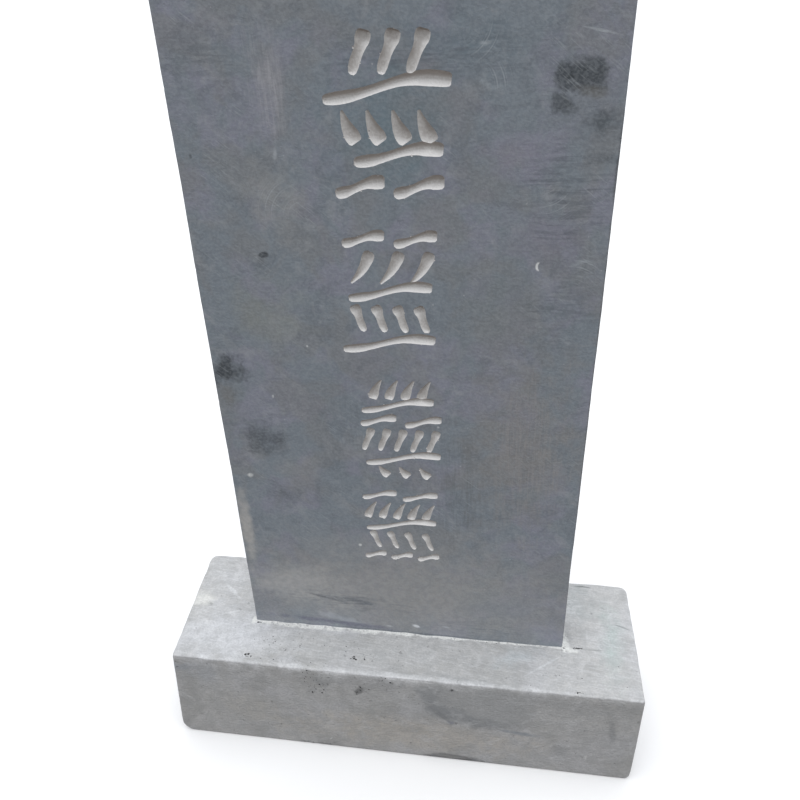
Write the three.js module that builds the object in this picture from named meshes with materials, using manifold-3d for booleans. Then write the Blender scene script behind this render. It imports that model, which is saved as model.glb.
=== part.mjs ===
// A carved stone stele: a flat bluestone tablet with a column of V-cut marks, set with
// lime mortar into the mortise of a long rectangular plinth.
// Millimetres, +Z up, front towards -Y, origin under the middle of the plinth.
import * as THREE from 'three';
import { mergeVertices } from 'three/addons/utils/BufferGeometryUtils.js';
import Module from 'manifold-3d';

const wasm = await Module();
wasm.setup();

// Driving dimensions
const plinthLength = 602;
const plinthDepth = 188;
const plinthHeight = 148;
const plinthCorners = { front: 4, back: 12 };
const plinthTopArris = 2;
const plinthFootArris = { along: 3, ends: 13 };
const leftEndTrim = { frontTop: 18, backTop: 2, frontFoot: 6, backFoot: 0 };

const tabletWidth = 400;
const tabletThickness = 50;
const tabletRise = 800;
const tabletFoot = 60;
const tabletShift = 8;
const tabletCorner = 5;
const tabletArris = 1.6;

const mortiseMargin = 6;
const mortiseSpare = 26;
const mortarCrown = 3;
const mortarBead = 5;
const fitGap = 0.3;

const grooveDepthShare = 0.36;
const grooveOvercut = 1;
const barRise = 0.13;

// Places worked out from them
const tabletFront = -tabletThickness / 2;
const mortiseFloor = plinthHeight - tabletFoot - fitGap;
const tabletPlan = {
  left: tabletShift - tabletWidth / 2,
  right: tabletShift + tabletWidth / 2,
  front: tabletFront,
  back: tabletFront + tabletThickness,
};
const mortise = {
  left: tabletPlan.left - mortiseMargin,
  right: tabletPlan.right + mortiseSpare,
  front: tabletPlan.front - mortiseMargin,
  back: tabletPlan.back + mortiseMargin,
};

// Stroke kinds. heading is the way the stroke runs, in degrees from level. swell is its
// width from start to end, as shares of the group's stroke width. sway bends it to both
// sides and bow to one side, as shares of its length.
const strokeKinds = {
  bar: { heading: 0, swell: [0.4, 1, 0.82, 0.72, 0.78, 1, 1.2, 0.75], sway: -0.024, bow: 0.035 },
  post: { heading: -90, swell: [0.7, 1.2, 0.95, 0.82, 0.85, 0.8, 0.3], sway: 0.015, bow: 0 },
  sweep: { heading: -90, swell: [0.6, 1.25, 1.1, 0.95, 0.75, 0.5, 0.25], sway: 0, bow: 0.07 },
  drop: { heading: -90, swell: [0.2, 0.55, 0.85, 1.15, 1.3, 0.9], sway: 0, bow: -0.05 },
};

// Groups of marks from the top of the tablet down. middle is measured from the tablet's
// centre line, height above the plinth, and wide and tall are the space that they fill.
// In a row, from and to are the first and last stroke's places across the group and level
// its place up the group, as shares of that space. long is a stroke's length, as a share
// of wide for a bar and of tall for the others, and lean turns a row's strokes, in degrees.
const markGroups = [
  {
    middle: 0, height: 631, wide: 113, tall: 140, stroke: 11,
    rows: [
      { kind: 'post', count: 3, from: -0.2, to: 0.24, level: 0.38, long: 0.26, lean: -20 },
      { kind: 'bar', count: 1, from: 0, to: 0, level: 0.17, long: 1, lean: 0 },
      { kind: 'drop', count: 4, from: -0.3, to: 0.3, level: -0.04, long: 0.21, lean: 24 },
      { kind: 'bar', count: 1, from: 0.08, to: 0.08, level: -0.22, long: 0.72, lean: 0 },
      { kind: 'bar', count: 2, from: -0.24, to: 0.24, level: -0.42, long: 0.42, lean: 6 },
    ],
  },
  {
    middle: -7, height: 468, wide: 100, tall: 130, stroke: 9.5,
    rows: [
      { kind: 'bar', count: 2, from: -0.2, to: 0.3, level: 0.43, long: 0.42, lean: 4 },
      { kind: 'sweep', count: 3, from: -0.24, to: 0.34, level: 0.22, long: 0.29, lean: -32 },
      { kind: 'bar', count: 1, from: 0.04, to: 0.04, level: 0.02, long: 0.84, lean: 1 },
      { kind: 'post', count: 4, from: -0.28, to: 0.36, level: -0.19, long: 0.23, lean: 20 },
      { kind: 'bar', count: 1, from: 0.01, to: 0.01, level: -0.41, long: 0.96, lean: 0 },
    ],
  },
  {
    middle: 3, height: 312, wide: 92, tall: 126, stroke: 8,
    rows: [
      { kind: 'drop', count: 4, from: -0.26, to: 0.3, level: 0.4, long: 0.2, lean: -24 },
      { kind: 'bar', count: 1, from: -0.03, to: -0.03, level: 0.24, long: 0.86, lean: 2 },
      { kind: 'bar', count: 2, from: -0.26, to: 0.27, level: 0.09, long: 0.44, lean: 5 },
      { kind: 'post', count: 5, from: -0.4, to: 0.38, level: -0.1, long: 0.24, lean: -18 },
      { kind: 'bar', count: 1, from: 0.02, to: 0.02, level: -0.3, long: 0.92, lean: 1 },
      { kind: 'drop', count: 3, from: -0.22, to: 0.28, level: -0.43, long: 0.13, lean: 40 },
    ],
  },
  {
    middle: 0, height: 178, wide: 89, tall: 107, stroke: 7.4,
    rows: [
      { kind: 'bar', count: 2, from: -0.27, to: 0.26, level: 0.42, long: 0.46, lean: 4 },
      { kind: 'drop', count: 5, from: -0.38, to: 0.38, level: 0.22, long: 0.24, lean: -26 },
      { kind: 'bar', count: 1, from: 0, to: 0, level: 0.02, long: 0.94, lean: 1 },
      { kind: 'post', count: 4, from: -0.34, to: 0.36, level: -0.19, long: 0.25, lean: 22 },
      { kind: 'bar', count: 3, from: -0.36, to: 0.36, level: -0.42, long: 0.3, lean: 6 },
    ],
  },
];

/** A closed solid from geometry, with its shared corners merged. */
function solidOf(geometry) {
  geometry.deleteAttribute('normal');
  geometry.deleteAttribute('uv');
  const merged = mergeVertices(geometry);
  return new wasm.Manifold(new wasm.Mesh({
    numProp: 3,
    vertProperties: new Float32Array(merged.attributes.position.array),
    triVerts: new Uint32Array(merged.index.array),
  }));
}

/** Flat-shaded geometry from a solid. */
function geometryOf(solid) {
  const mesh = solid.getMesh();
  const indexed = new THREE.BufferGeometry();
  indexed.setAttribute('position', new THREE.BufferAttribute(mesh.vertProperties, 3));
  indexed.setIndex(new THREE.BufferAttribute(mesh.triVerts, 1));
  const flat = indexed.toNonIndexed();
  flat.computeVertexNormals();
  return flat;
}

/** Geometry from rings of points, each joined to the next, and a point at each end. The
 * rings run anticlockwise seen from the last point. */
function spindleGeometry(firstTip, rings, lastTip) {
  const points = [firstTip, ...rings.flat(), lastTip];
  const sides = rings[0].length;
  const triangles = [];
  const at = (ring, side) => 1 + ring * sides + (side % sides);
  for (let side = 0; side < sides; side += 1) {
    triangles.push(0, at(0, side + 1), at(0, side));
    triangles.push(points.length - 1, at(rings.length - 1, side), at(rings.length - 1, side + 1));
  }
  for (let ring = 0; ring + 1 < rings.length; ring += 1) {
    for (let side = 0; side < sides; side += 1) {
      triangles.push(at(ring, side), at(ring, side + 1), at(ring + 1, side));
      triangles.push(at(ring, side + 1), at(ring + 1, side + 1), at(ring + 1, side));
    }
  }
  const geometry = new THREE.BufferGeometry();
  const flatPoints = points.flatMap((point) => [point.x, point.y, point.z]);
  geometry.setAttribute('position', new THREE.Float32BufferAttribute(flatPoints, 3));
  geometry.setIndex(triangles);
  return geometry;
}

/** The outline of a rectangle with round corners, about its middle. */
function roundedRectangle(width, height, radius) {
  const shape = new THREE.Shape();
  const corners = [[1, -1, -90], [1, 1, 0], [-1, 1, 90], [-1, -1, 180]];
  for (const [sideX, sideY, startDegrees] of corners) {
    const start = THREE.MathUtils.degToRad(startDegrees);
    const centreX = sideX * (width / 2 - radius);
    const centreY = sideY * (height / 2 - radius);
    shape.absarc(centreX, centreY, radius, start, start + Math.PI / 2, false);
  }
  return shape;
}

/** An upright slab, standing on its narrow side, with its two faces' edges eased. */
function easedSlab(width, height, thickness, corner, arris) {
  const outline = roundedRectangle(width - 2 * arris, height - 2 * arris, corner - arris);
  return new THREE.ExtrudeGeometry(outline, {
    depth: thickness - 2 * arris,
    bevelThickness: arris,
    bevelSize: arris,
    bevelSegments: 1,
    curveSegments: 3,
  }).translate(0, 0, arris - thickness / 2).rotateX(Math.PI / 2);
}

/** A box with extra divisions at each of the distances in ends from its sides. */
function dividedBox(length, depth, height, ends) {
  const segments = 2 * ends.length - 1;
  const placeOf = (share, size) => {
    const index = Math.round((share + 0.5) * segments);
    const fromEnd = ends[Math.min(index, segments - index)];
    return index < ends.length ? fromEnd - size / 2 : size / 2 - fromEnd;
  };
  const box = new THREE.BoxGeometry(1, 1, 1, segments, segments, segments);
  const points = box.attributes.position;
  for (let index = 0; index < points.count; index += 1) {
    points.setXYZ(
      index,
      placeOf(points.getX(index), length),
      placeOf(points.getY(index), depth),
      placeOf(points.getZ(index), height),
    );
  }
  return box;
}

/** Rounds the square corner that two coordinates share. */
function rounded(first, second, firstHalf, secondHalf, radius) {
  const firstOver = Math.abs(first) - (firstHalf - radius);
  const secondOver = Math.abs(second) - (secondHalf - radius);
  if (firstOver <= 0 || secondOver <= 0) {
    return [first, second];
  }
  const share = Math.max(firstOver, secondOver) / Math.hypot(firstOver, secondOver);
  return [
    Math.sign(first) * (firstHalf - radius + firstOver * share),
    Math.sign(second) * (secondHalf - radius + secondOver * share),
  ];
}

/** How far the left end is cut in, at a share of the depth and of the height. */
function leftTrimAt(across, up) {
  const { lerp } = THREE.MathUtils;
  const front = lerp(leftEndTrim.frontFoot, leftEndTrim.frontTop, up);
  const back = lerp(leftEndTrim.backFoot, leftEndTrim.backTop, up);
  return lerp(front, back, across);
}

/** The plinth's block: eased at its corners and arrises, with a left end that is askew. */
function plinthBlock() {
  const [halfLength, halfDepth, halfHeight] = [plinthLength, plinthDepth, plinthHeight]
    .map((size) => size / 2);
  const ends = [0, 1, 2, 4, 8, plinthFootArris.ends];
  const block = dividedBox(plinthLength, plinthDepth, plinthHeight, ends);
  const points = block.attributes.position;
  for (let index = 0; index < points.count; index += 1) {
    let [x, y, z] = [points.getX(index), points.getY(index), points.getZ(index)];
    const endArris = z > 0 ? plinthTopArris : plinthFootArris.ends;
    const alongArris = z > 0 ? plinthTopArris : plinthFootArris.along;
    const corner = y < 0 ? plinthCorners.front : plinthCorners.back;
    [x, z] = rounded(x, z, halfLength, halfHeight, endArris);
    [y, z] = rounded(y, z, halfDepth, halfHeight, alongArris);
    [x, y] = rounded(x, y, halfLength, halfDepth, corner);
    const trim = leftTrimAt(y / plinthDepth + 0.5, z / plinthHeight + 0.5);
    x += trim * Math.max(0, -x / halfLength);
    points.setXYZ(index, x, y, z + halfHeight);
  }
  block.computeBoundingBox();
  const { min, max } = block.boundingBox;
  return block.translate(-(min.x + max.x) / 2, 0, 0);
}

/** The widths of a stroke kind along its length, from 0 to 1, as a smooth curve. */
function swellCurve(swell) {
  return new THREE.SplineCurve(swell.map((share, index) => (
    new THREE.Vector2(index / (swell.length - 1), share)
  )));
}

/** The V-shaped cutter of one stroke, on the tablet's face. */
function strokeCutter(kind, middleX, middleZ, length, lean, width) {
  const { heading, swell, sway, bow } = strokeKinds[kind];
  const angle = THREE.MathUtils.degToRad(heading + lean) + (kind === 'bar' ? barRise : 0);
  const along = new THREE.Vector3(Math.cos(angle), 0, Math.sin(angle));
  const across = new THREE.Vector3(-along.z, 0, along.x);
  const widths = swellCurve(swell);
  const steps = swell.length + 2;
  const spine = (share) => {
    const side = length * (sway * Math.sin(2 * Math.PI * share) + bow * Math.sin(Math.PI * share));
    return new THREE.Vector3(middleX, tabletFront, middleZ)
      .addScaledVector(along, length * (share - 0.5))
      .addScaledVector(across, side);
  };
  const over = new THREE.Vector3(0, -grooveOvercut, 0);
  const ringAt = (share) => {
    const half = width * widths.getPoint(share).y / 2;
    const deep = 2 * half * grooveDepthShare;
    const reach = half * (deep + grooveOvercut) / deep;
    return [
      spine(share).addScaledVector(across, -reach).add(over),
      spine(share).add(new THREE.Vector3(0, deep, 0)),
      spine(share).addScaledVector(across, reach).add(over),
    ];
  };
  const rings = [];
  for (let step = 0; step <= steps; step += 1) {
    rings.push(ringAt(0.05 + 0.9 * step / steps));
  }
  return solidOf(spindleGeometry(spine(-0.01).add(over), rings, spine(1.01).add(over)));
}

/** The cutters of one row of strokes in a group of marks. */
function rowCutters(group, row) {
  const cutters = [];
  const length = row.long * (row.kind === 'bar' ? group.wide : group.tall);
  for (let index = 0; index < row.count; index += 1) {
    const share = row.count > 1 ? index / (row.count - 1) : 0;
    const across = THREE.MathUtils.lerp(row.from, row.to, share);
    const middleX = tabletShift + group.middle + group.wide * across;
    const middleZ = plinthHeight + group.height + group.tall * row.level;
    cutters.push(strokeCutter(row.kind, middleX, middleZ, length, row.lean, group.stroke));
  }
  return cutters;
}

/** The tablet: an eased slab with its foot in the mortise and the marks cut in its face. */
function tabletGeometry() {
  const height = tabletRise + tabletFoot;
  const slab = easedSlab(tabletWidth, height, tabletThickness, tabletCorner, tabletArris)
    .translate(tabletShift, 0, plinthHeight + tabletRise - height / 2);
  let solid = solidOf(slab);
  for (const group of markGroups) {
    for (const cutter of group.rows.flatMap((row) => rowCutters(group, row))) {
      solid = solid.subtract(cutter);
    }
  }
  return geometryOf(solid);
}

/** The plinth: its block with the mortise cut in the top. */
function plinthGeometry() {
  const overcut = 10;
  const pocketHeight = plinthHeight - mortiseFloor + overcut;
  const pocket = new THREE.BoxGeometry(
    mortise.right - mortise.left,
    mortise.back - mortise.front,
    pocketHeight,
  ).translate(
    (mortise.left + mortise.right) / 2,
    (mortise.front + mortise.back) / 2,
    mortiseFloor + pocketHeight / 2,
  );
  return geometryOf(solidOf(plinthBlock()).subtract(solidOf(pocket)));
}

/** The outline of a plan, moved outwards by a distance. */
function grown(plan, distance) {
  return {
    left: plan.left - distance,
    right: plan.right + distance,
    front: plan.front - distance,
    back: plan.back + distance,
  };
}

/** The mortar: a ring that fills the mortise round the foot, with a bead up to the tablet. */
function mortarGeometry() {
  const inner = grown(tabletPlan, fitGap);
  const outer = grown(mortise, -fitGap);
  const bottom = mortiseFloor + fitGap;
  const profile = [
    [inner, bottom],
    [outer, bottom],
    [outer, plinthHeight],
    [grown(inner, mortarBead), plinthHeight],
    [inner, plinthHeight + mortarCrown],
  ];
  const sides = profile.length;
  const corners = [['right', 'front'], ['right', 'back'], ['left', 'back'], ['left', 'front']];
  const points = [];
  const triangles = [];
  for (const [sideX, sideY] of corners) {
    for (const [edge, height] of profile) {
      points.push(edge[sideX], edge[sideY], height);
    }
  }
  const at = (corner, point) => (corner % corners.length) * sides + (point % sides);
  for (let corner = 0; corner < corners.length; corner += 1) {
    for (let point = 0; point < sides; point += 1) {
      triangles.push(at(corner, point), at(corner + 1, point), at(corner + 1, point + 1));
      triangles.push(at(corner, point), at(corner + 1, point + 1), at(corner, point + 1));
    }
  }
  const ring = new THREE.BufferGeometry();
  ring.setAttribute('position', new THREE.Float32BufferAttribute(points, 3));
  ring.setIndex(triangles);
  return geometryOf(solidOf(ring));
}

/** Honed dark blue-grey limestone. */
function bluestone() {
  return new THREE.MeshStandardMaterial({ color: 0x6f7880, roughness: 0.72, metalness: 0 });
}

/** Light grey sawn stone. */
function greyStone() {
  return new THREE.MeshStandardMaterial({ color: 0xa9abac, roughness: 0.85, metalness: 0 });
}

/** Off-white lime mortar. */
function limeMortar() {
  return new THREE.MeshStandardMaterial({ color: 0xd2d2cc, roughness: 0.95, metalness: 0 });
}

/** A named mesh of the geometry and material. */
function namedMesh(name, geometry, material) {
  const mesh = new THREE.Mesh(geometry, material);
  mesh.name = name;
  return mesh;
}

const stele = new THREE.Group();
stele.add(namedMesh('tablet', tabletGeometry(), bluestone()));
stele.add(namedMesh('plinth', plinthGeometry(), greyStone()));
stele.add(namedMesh('mortar_joint', mortarGeometry(), limeMortar()));

export default stele;
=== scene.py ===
"""Dresses a carved stone stele: a honed bluestone tablet with a column of V-cut marks, bedded
in lime mortar in the mortise of a long grey plinth.

Lengths are metres in the model's own frame: +Z up, front towards -Y, origin under the middle
of the plinth.
"""

import logging
import math
from dataclasses import dataclass, field
from enum import Enum
from typing import Any

import bmesh
import bpy
from mathutils import Euler, Matrix, Vector, noise


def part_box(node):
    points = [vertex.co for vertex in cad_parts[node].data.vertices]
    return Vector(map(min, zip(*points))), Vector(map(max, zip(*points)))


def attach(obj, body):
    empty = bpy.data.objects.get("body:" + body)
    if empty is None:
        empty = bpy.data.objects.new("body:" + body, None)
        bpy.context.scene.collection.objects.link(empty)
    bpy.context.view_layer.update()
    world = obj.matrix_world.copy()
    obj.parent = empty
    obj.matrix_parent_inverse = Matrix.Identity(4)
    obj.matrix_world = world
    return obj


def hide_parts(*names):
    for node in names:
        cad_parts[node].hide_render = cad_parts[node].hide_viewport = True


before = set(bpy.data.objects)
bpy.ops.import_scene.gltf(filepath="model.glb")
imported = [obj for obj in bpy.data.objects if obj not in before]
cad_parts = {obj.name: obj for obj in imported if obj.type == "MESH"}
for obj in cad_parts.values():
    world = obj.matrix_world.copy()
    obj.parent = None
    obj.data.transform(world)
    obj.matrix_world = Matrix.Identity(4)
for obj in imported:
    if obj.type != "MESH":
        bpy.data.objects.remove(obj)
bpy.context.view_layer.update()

LOG = logging.getLogger("stele")
MM = 0.001
BODY = "root"

# The seeds of the scattered chips start here, apart for each kind.
PLINTH_ARRIS_SEED = 40
PIT_SEED = 80
VOID_SEED = 120
FULL_TURN = 6.283
SMALLEST_PIT = 0.0005
CHIP_GRAIN = 0.002


def linear(code: str) -> tuple[float, float, float, float]:
    """Turns an sRGB hex colour into linear light.

    Args:
        code: Six hex digits after a hash sign.

    Returns:
        Red, green, blue and an alpha of 1.
    """
    shares = [int(code[start:start + 2], 16) / 255 for start in (1, 3, 5)]
    light = [s / 12.92 if s <= 0.04045 else ((s + 0.055) / 1.055) ** 2.4 for s in shares]
    return light[0], light[1], light[2], 1.0


def add_node(
    tree: bpy.types.NodeTree, kind: str, links: dict[str | int, Any] | None = None, **settings: Any
) -> bpy.types.Node:
    """Adds a node, with its settings, values and links.

    Args:
        tree: The tree that the node joins.
        kind: The node's type name.
        links: For each input, by index, identifier or name: a value, an output socket, or
            a list of output sockets.
        settings: The node's own properties.

    Returns:
        The new node.
    """
    node = tree.nodes.new(kind)
    for name, value in settings.items():
        setattr(node, name, value)
    by_identifier = {socket.identifier: socket for socket in node.inputs}
    for key, value in (links or {}).items():
        socket = by_identifier.get(key) or node.inputs[key]
        sources = value if isinstance(value, list) else [value]
        if isinstance(sources[0], bpy.types.NodeSocket):
            for source in sources:
                tree.links.new(source, socket)
        else:
            socket.default_value = value
    return node


def maths(tree: bpy.types.NodeTree, operation: str, *values: Any, clamp: bool = False) -> Any:
    """Works one number out in a tree.

    Args:
        tree: The tree.
        operation: What is done.
        values: Sockets or numbers, in the order of the node's inputs.
        clamp: Whether the result is kept from 0 to 1.

    Returns:
        The result's socket.
    """
    links = dict(enumerate(values))
    node = add_node(tree, "ShaderNodeMath", links, operation=operation, use_clamp=clamp)
    return node.outputs[0]


def scaled_vector(tree: bpy.types.NodeTree, vector: Any, scale: Any) -> Any:
    """Scales a vector in a tree.

    Args:
        tree: The tree.
        vector: The vector's socket.
        scale: A number or its socket.

    Returns:
        The result's socket.
    """
    links = {0: vector, "Scale": scale}
    return add_node(tree, "ShaderNodeVectorMath", links, operation="SCALE").outputs[0]


def random_vector(tree: bpy.types.NodeTree, low: Any, high: Any, seed: Any) -> Any:
    """Draws a vector for each element in a tree.

    Args:
        tree: The tree.
        low: The least of each part.
        high: The most of each part.
        seed: The seed.

    Returns:
        The result's socket.
    """
    links = {"Min": low, "Max": high, "Seed": seed}
    node = add_node(tree, "FunctionNodeRandomValue", links, data_type="FLOAT_VECTOR")
    return node.outputs["Value"]


# ---------------------------------------------------------------------------
# Patterns in the materials
# ---------------------------------------------------------------------------


class Face(Enum):
    """The side of the stele that a mark lies on."""

    FRONT = 1
    TOP = 2


@dataclass(frozen=True)
class Stain:
    """A patch of another tone, as a soft ellipsoid with a ragged edge.

    reach is half its width and half its height, turn its slant in degrees, soft the share of it
    that fades out and ragged how far its edge strays. bite is the shift at which the same patch is
    taken out of it again, which leaves a crescent.
    """

    at: tuple[float, float, float]
    reach: tuple[float, float]
    colour: str
    strength: float = 0.5
    turn: float = 0.0
    soft: float = 0.7
    ragged: float = 0.5
    bite: tuple[float, float] | None = None
    face: Face = Face.FRONT
    depth: float = 0.02

    def place(self, shift: tuple[float, float] = (0.0, 0.0)) -> dict[str, Any]:
        """Gives the Mapping node's inputs that turn the patch into a unit ball.

        Args:
            shift: How far the patch is moved over its face.

        Returns:
            Location, Rotation and Scale.
        """
        x, y, z = self.at
        across, along = self.reach
        turn = math.radians(self.turn)
        if self.face is Face.FRONT:
            return {
                "Location": (x + shift[0], y, z + shift[1]),
                "Rotation": (0, -turn, 0),
                "Scale": (across, self.depth, along),
            }
        return {
            "Location": (x + shift[0], y + shift[1], z),
            "Rotation": (0, 0, turn),
            "Scale": (across, along, self.depth),
        }


class Painter:
    """Builds one stone's colour up from a base tone, layer by layer."""

    def __init__(self, name: str, base: str) -> None:
        """Starts a material whose colour is the base tone."""
        self.material = bpy.data.materials.new(name)
        self.material.use_nodes = True
        self.tree = self.material.node_tree
        self.shader = self.tree.nodes["Principled BSDF"]
        coordinates = add_node(self.tree, "ShaderNodeTexCoord")
        self.point = coordinates.outputs["Object"]
        self.normal = coordinates.outputs["Normal"]
        self.colour: Any = linear(base)
        self.material.diffuse_color = linear(base)
        self.rag: Any = None

    def cloud(
        self,
        size: tuple[float, float, float],
        low: float = 0.35,
        high: float = 0.65,
        detail: float = 3.0,
        turn: tuple[float, float, float] = (0.0, 0.0, 0.0),
        roughness: float = 0.5,
        distortion: float = 0.0,
    ) -> bpy.types.NodeSocket:
        """Makes a noise mask.

        Args:
            size: The size of its features along X, Y and Z.
            low: The noise value that gives 0.
            high: The noise value that gives 1.
            detail: Octaves of finer noise.
            turn: The pattern's rotation in radians.
            roughness: The share of each finer octave.
            distortion: How far the pattern is swirled.

        Returns:
            The mask, from 0 to 1.
        """
        turned = add_node(self.tree, "ShaderNodeMapping", {"Vector": self.point, "Rotation": turn})
        scaled = add_node(
            self.tree,
            "ShaderNodeVectorMath",
            {0: turned.outputs[0], 1: tuple(1 / length for length in size)},
            operation="MULTIPLY",
        )
        texture = add_node(
            self.tree,
            "ShaderNodeTexNoise",
            {
                "Vector": scaled.outputs[0],
                "Scale": 1.0,
                "Detail": detail,
                "Roughness": roughness,
                "Distortion": distortion,
            },
        )
        spread = add_node(
            self.tree,
            "ShaderNodeMapRange",
            {"Value": texture.outputs["Fac"], "From Min": low, "From Max": high},
            interpolation_type="SMOOTHSTEP",
        )
        return spread.outputs["Result"]

    def along_z(self, source: Any, low: float, high: float) -> bpy.types.NodeSocket:
        """Makes a mask from the Z part of a vector.

        Args:
            source: The vector's socket.
            low: The Z that gives 0.
            high: The Z that gives 1.

        Returns:
            The mask, from 0 to 1.
        """
        parts = add_node(self.tree, "ShaderNodeSeparateXYZ", {0: source})
        spread = add_node(
            self.tree,
            "ShaderNodeMapRange",
            {"Value": parts.outputs["Z"], "From Min": low, "From Max": high},
            interpolation_type="SMOOTHSTEP",
        )
        return spread.outputs["Result"]

    def both(self, first: Any, second: Any) -> bpy.types.NodeSocket:
        """Gives the product of two masks or numbers."""
        return maths(self.tree, "MULTIPLY", first, second)

    def tint(self, colour: str, mask: Any, strength: float) -> None:
        """Lays a colour over what is there.

        Args:
            colour: The sRGB hex colour.
            mask: Where it lies, from 0 to 1.
            strength: How much it covers where the mask is 1.
        """
        layer = add_node(
            self.tree,
            "ShaderNodeMix",
            {
                "Factor_Float": self.both(mask, strength),
                "A_Color": self.colour,
                "B_Color": linear(colour),
            },
            data_type="RGBA",
        )
        self.colour = layer.outputs[2]

    def stain_mask(self, stain: Stain) -> bpy.types.NodeSocket:
        """Makes the mask of a stain, with its bite taken out."""
        if self.rag is None:
            coarse = self.cloud((0.02, 0.02, 0.02), 0.0, 1.0, 4.0, roughness=0.62)
            self.rag = maths(self.tree, "SUBTRACT", coarse, 0.5)
        masks = []
        for shift in [(0.0, 0.0)] + ([stain.bite] if stain.bite else []):
            unit = add_node(
                self.tree,
                "ShaderNodeMapping",
                {"Vector": self.point, **stain.place(shift)},
                vector_type="TEXTURE",
            )
            reach = add_node(
                self.tree, "ShaderNodeVectorMath", {0: unit.outputs[0]}, operation="LENGTH"
            )
            ragged = maths(
                self.tree, "MULTIPLY_ADD", self.rag, 2 * stain.ragged, reach.outputs["Value"]
            )
            mask = add_node(
                self.tree,
                "ShaderNodeMapRange",
                {"Value": ragged, "From Min": 1.0, "From Max": 1.0 - stain.soft},
                interpolation_type="SMOOTHSTEP",
            )
            masks.append(mask.outputs["Result"])
        if len(masks) == 1:
            return masks[0]
        return maths(self.tree, "SUBTRACT", masks[0], masks[1], clamp=True)

    def stain(self, stain: Stain) -> None:
        """Lays one stain over what is there."""
        self.tint(stain.colour, self.stain_mask(stain), stain.strength)

    def finish(self, roughness: Any, heights: list[tuple[Any, float]]) -> bpy.types.Material:
        """Joins the layers to the shader.

        Args:
            roughness: A number or a socket.
            heights: Masks with the height that each gives the surface, in metres.

        Returns:
            The material.
        """
        total: Any = 0.0
        for mask, height in heights:
            total = maths(self.tree, "MULTIPLY_ADD", mask, height / MM, total)
        bump = add_node(
            self.tree, "ShaderNodeBump", {"Height": total, "Distance": MM, "Strength": 1.0}
        )
        self.tree.links.new(bump.outputs["Normal"], self.shader.inputs["Normal"])
        if isinstance(roughness, bpy.types.NodeSocket):
            self.tree.links.new(roughness, self.shader.inputs["Roughness"])
        else:
            self.shader.inputs["Roughness"].default_value = roughness
        if isinstance(self.colour, bpy.types.NodeSocket):
            self.tree.links.new(self.colour, self.shader.inputs["Base Color"])
        else:
            self.shader.inputs["Base Color"].default_value = self.colour
        return self.material


# ---------------------------------------------------------------------------
# Finishes
# ---------------------------------------------------------------------------


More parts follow.
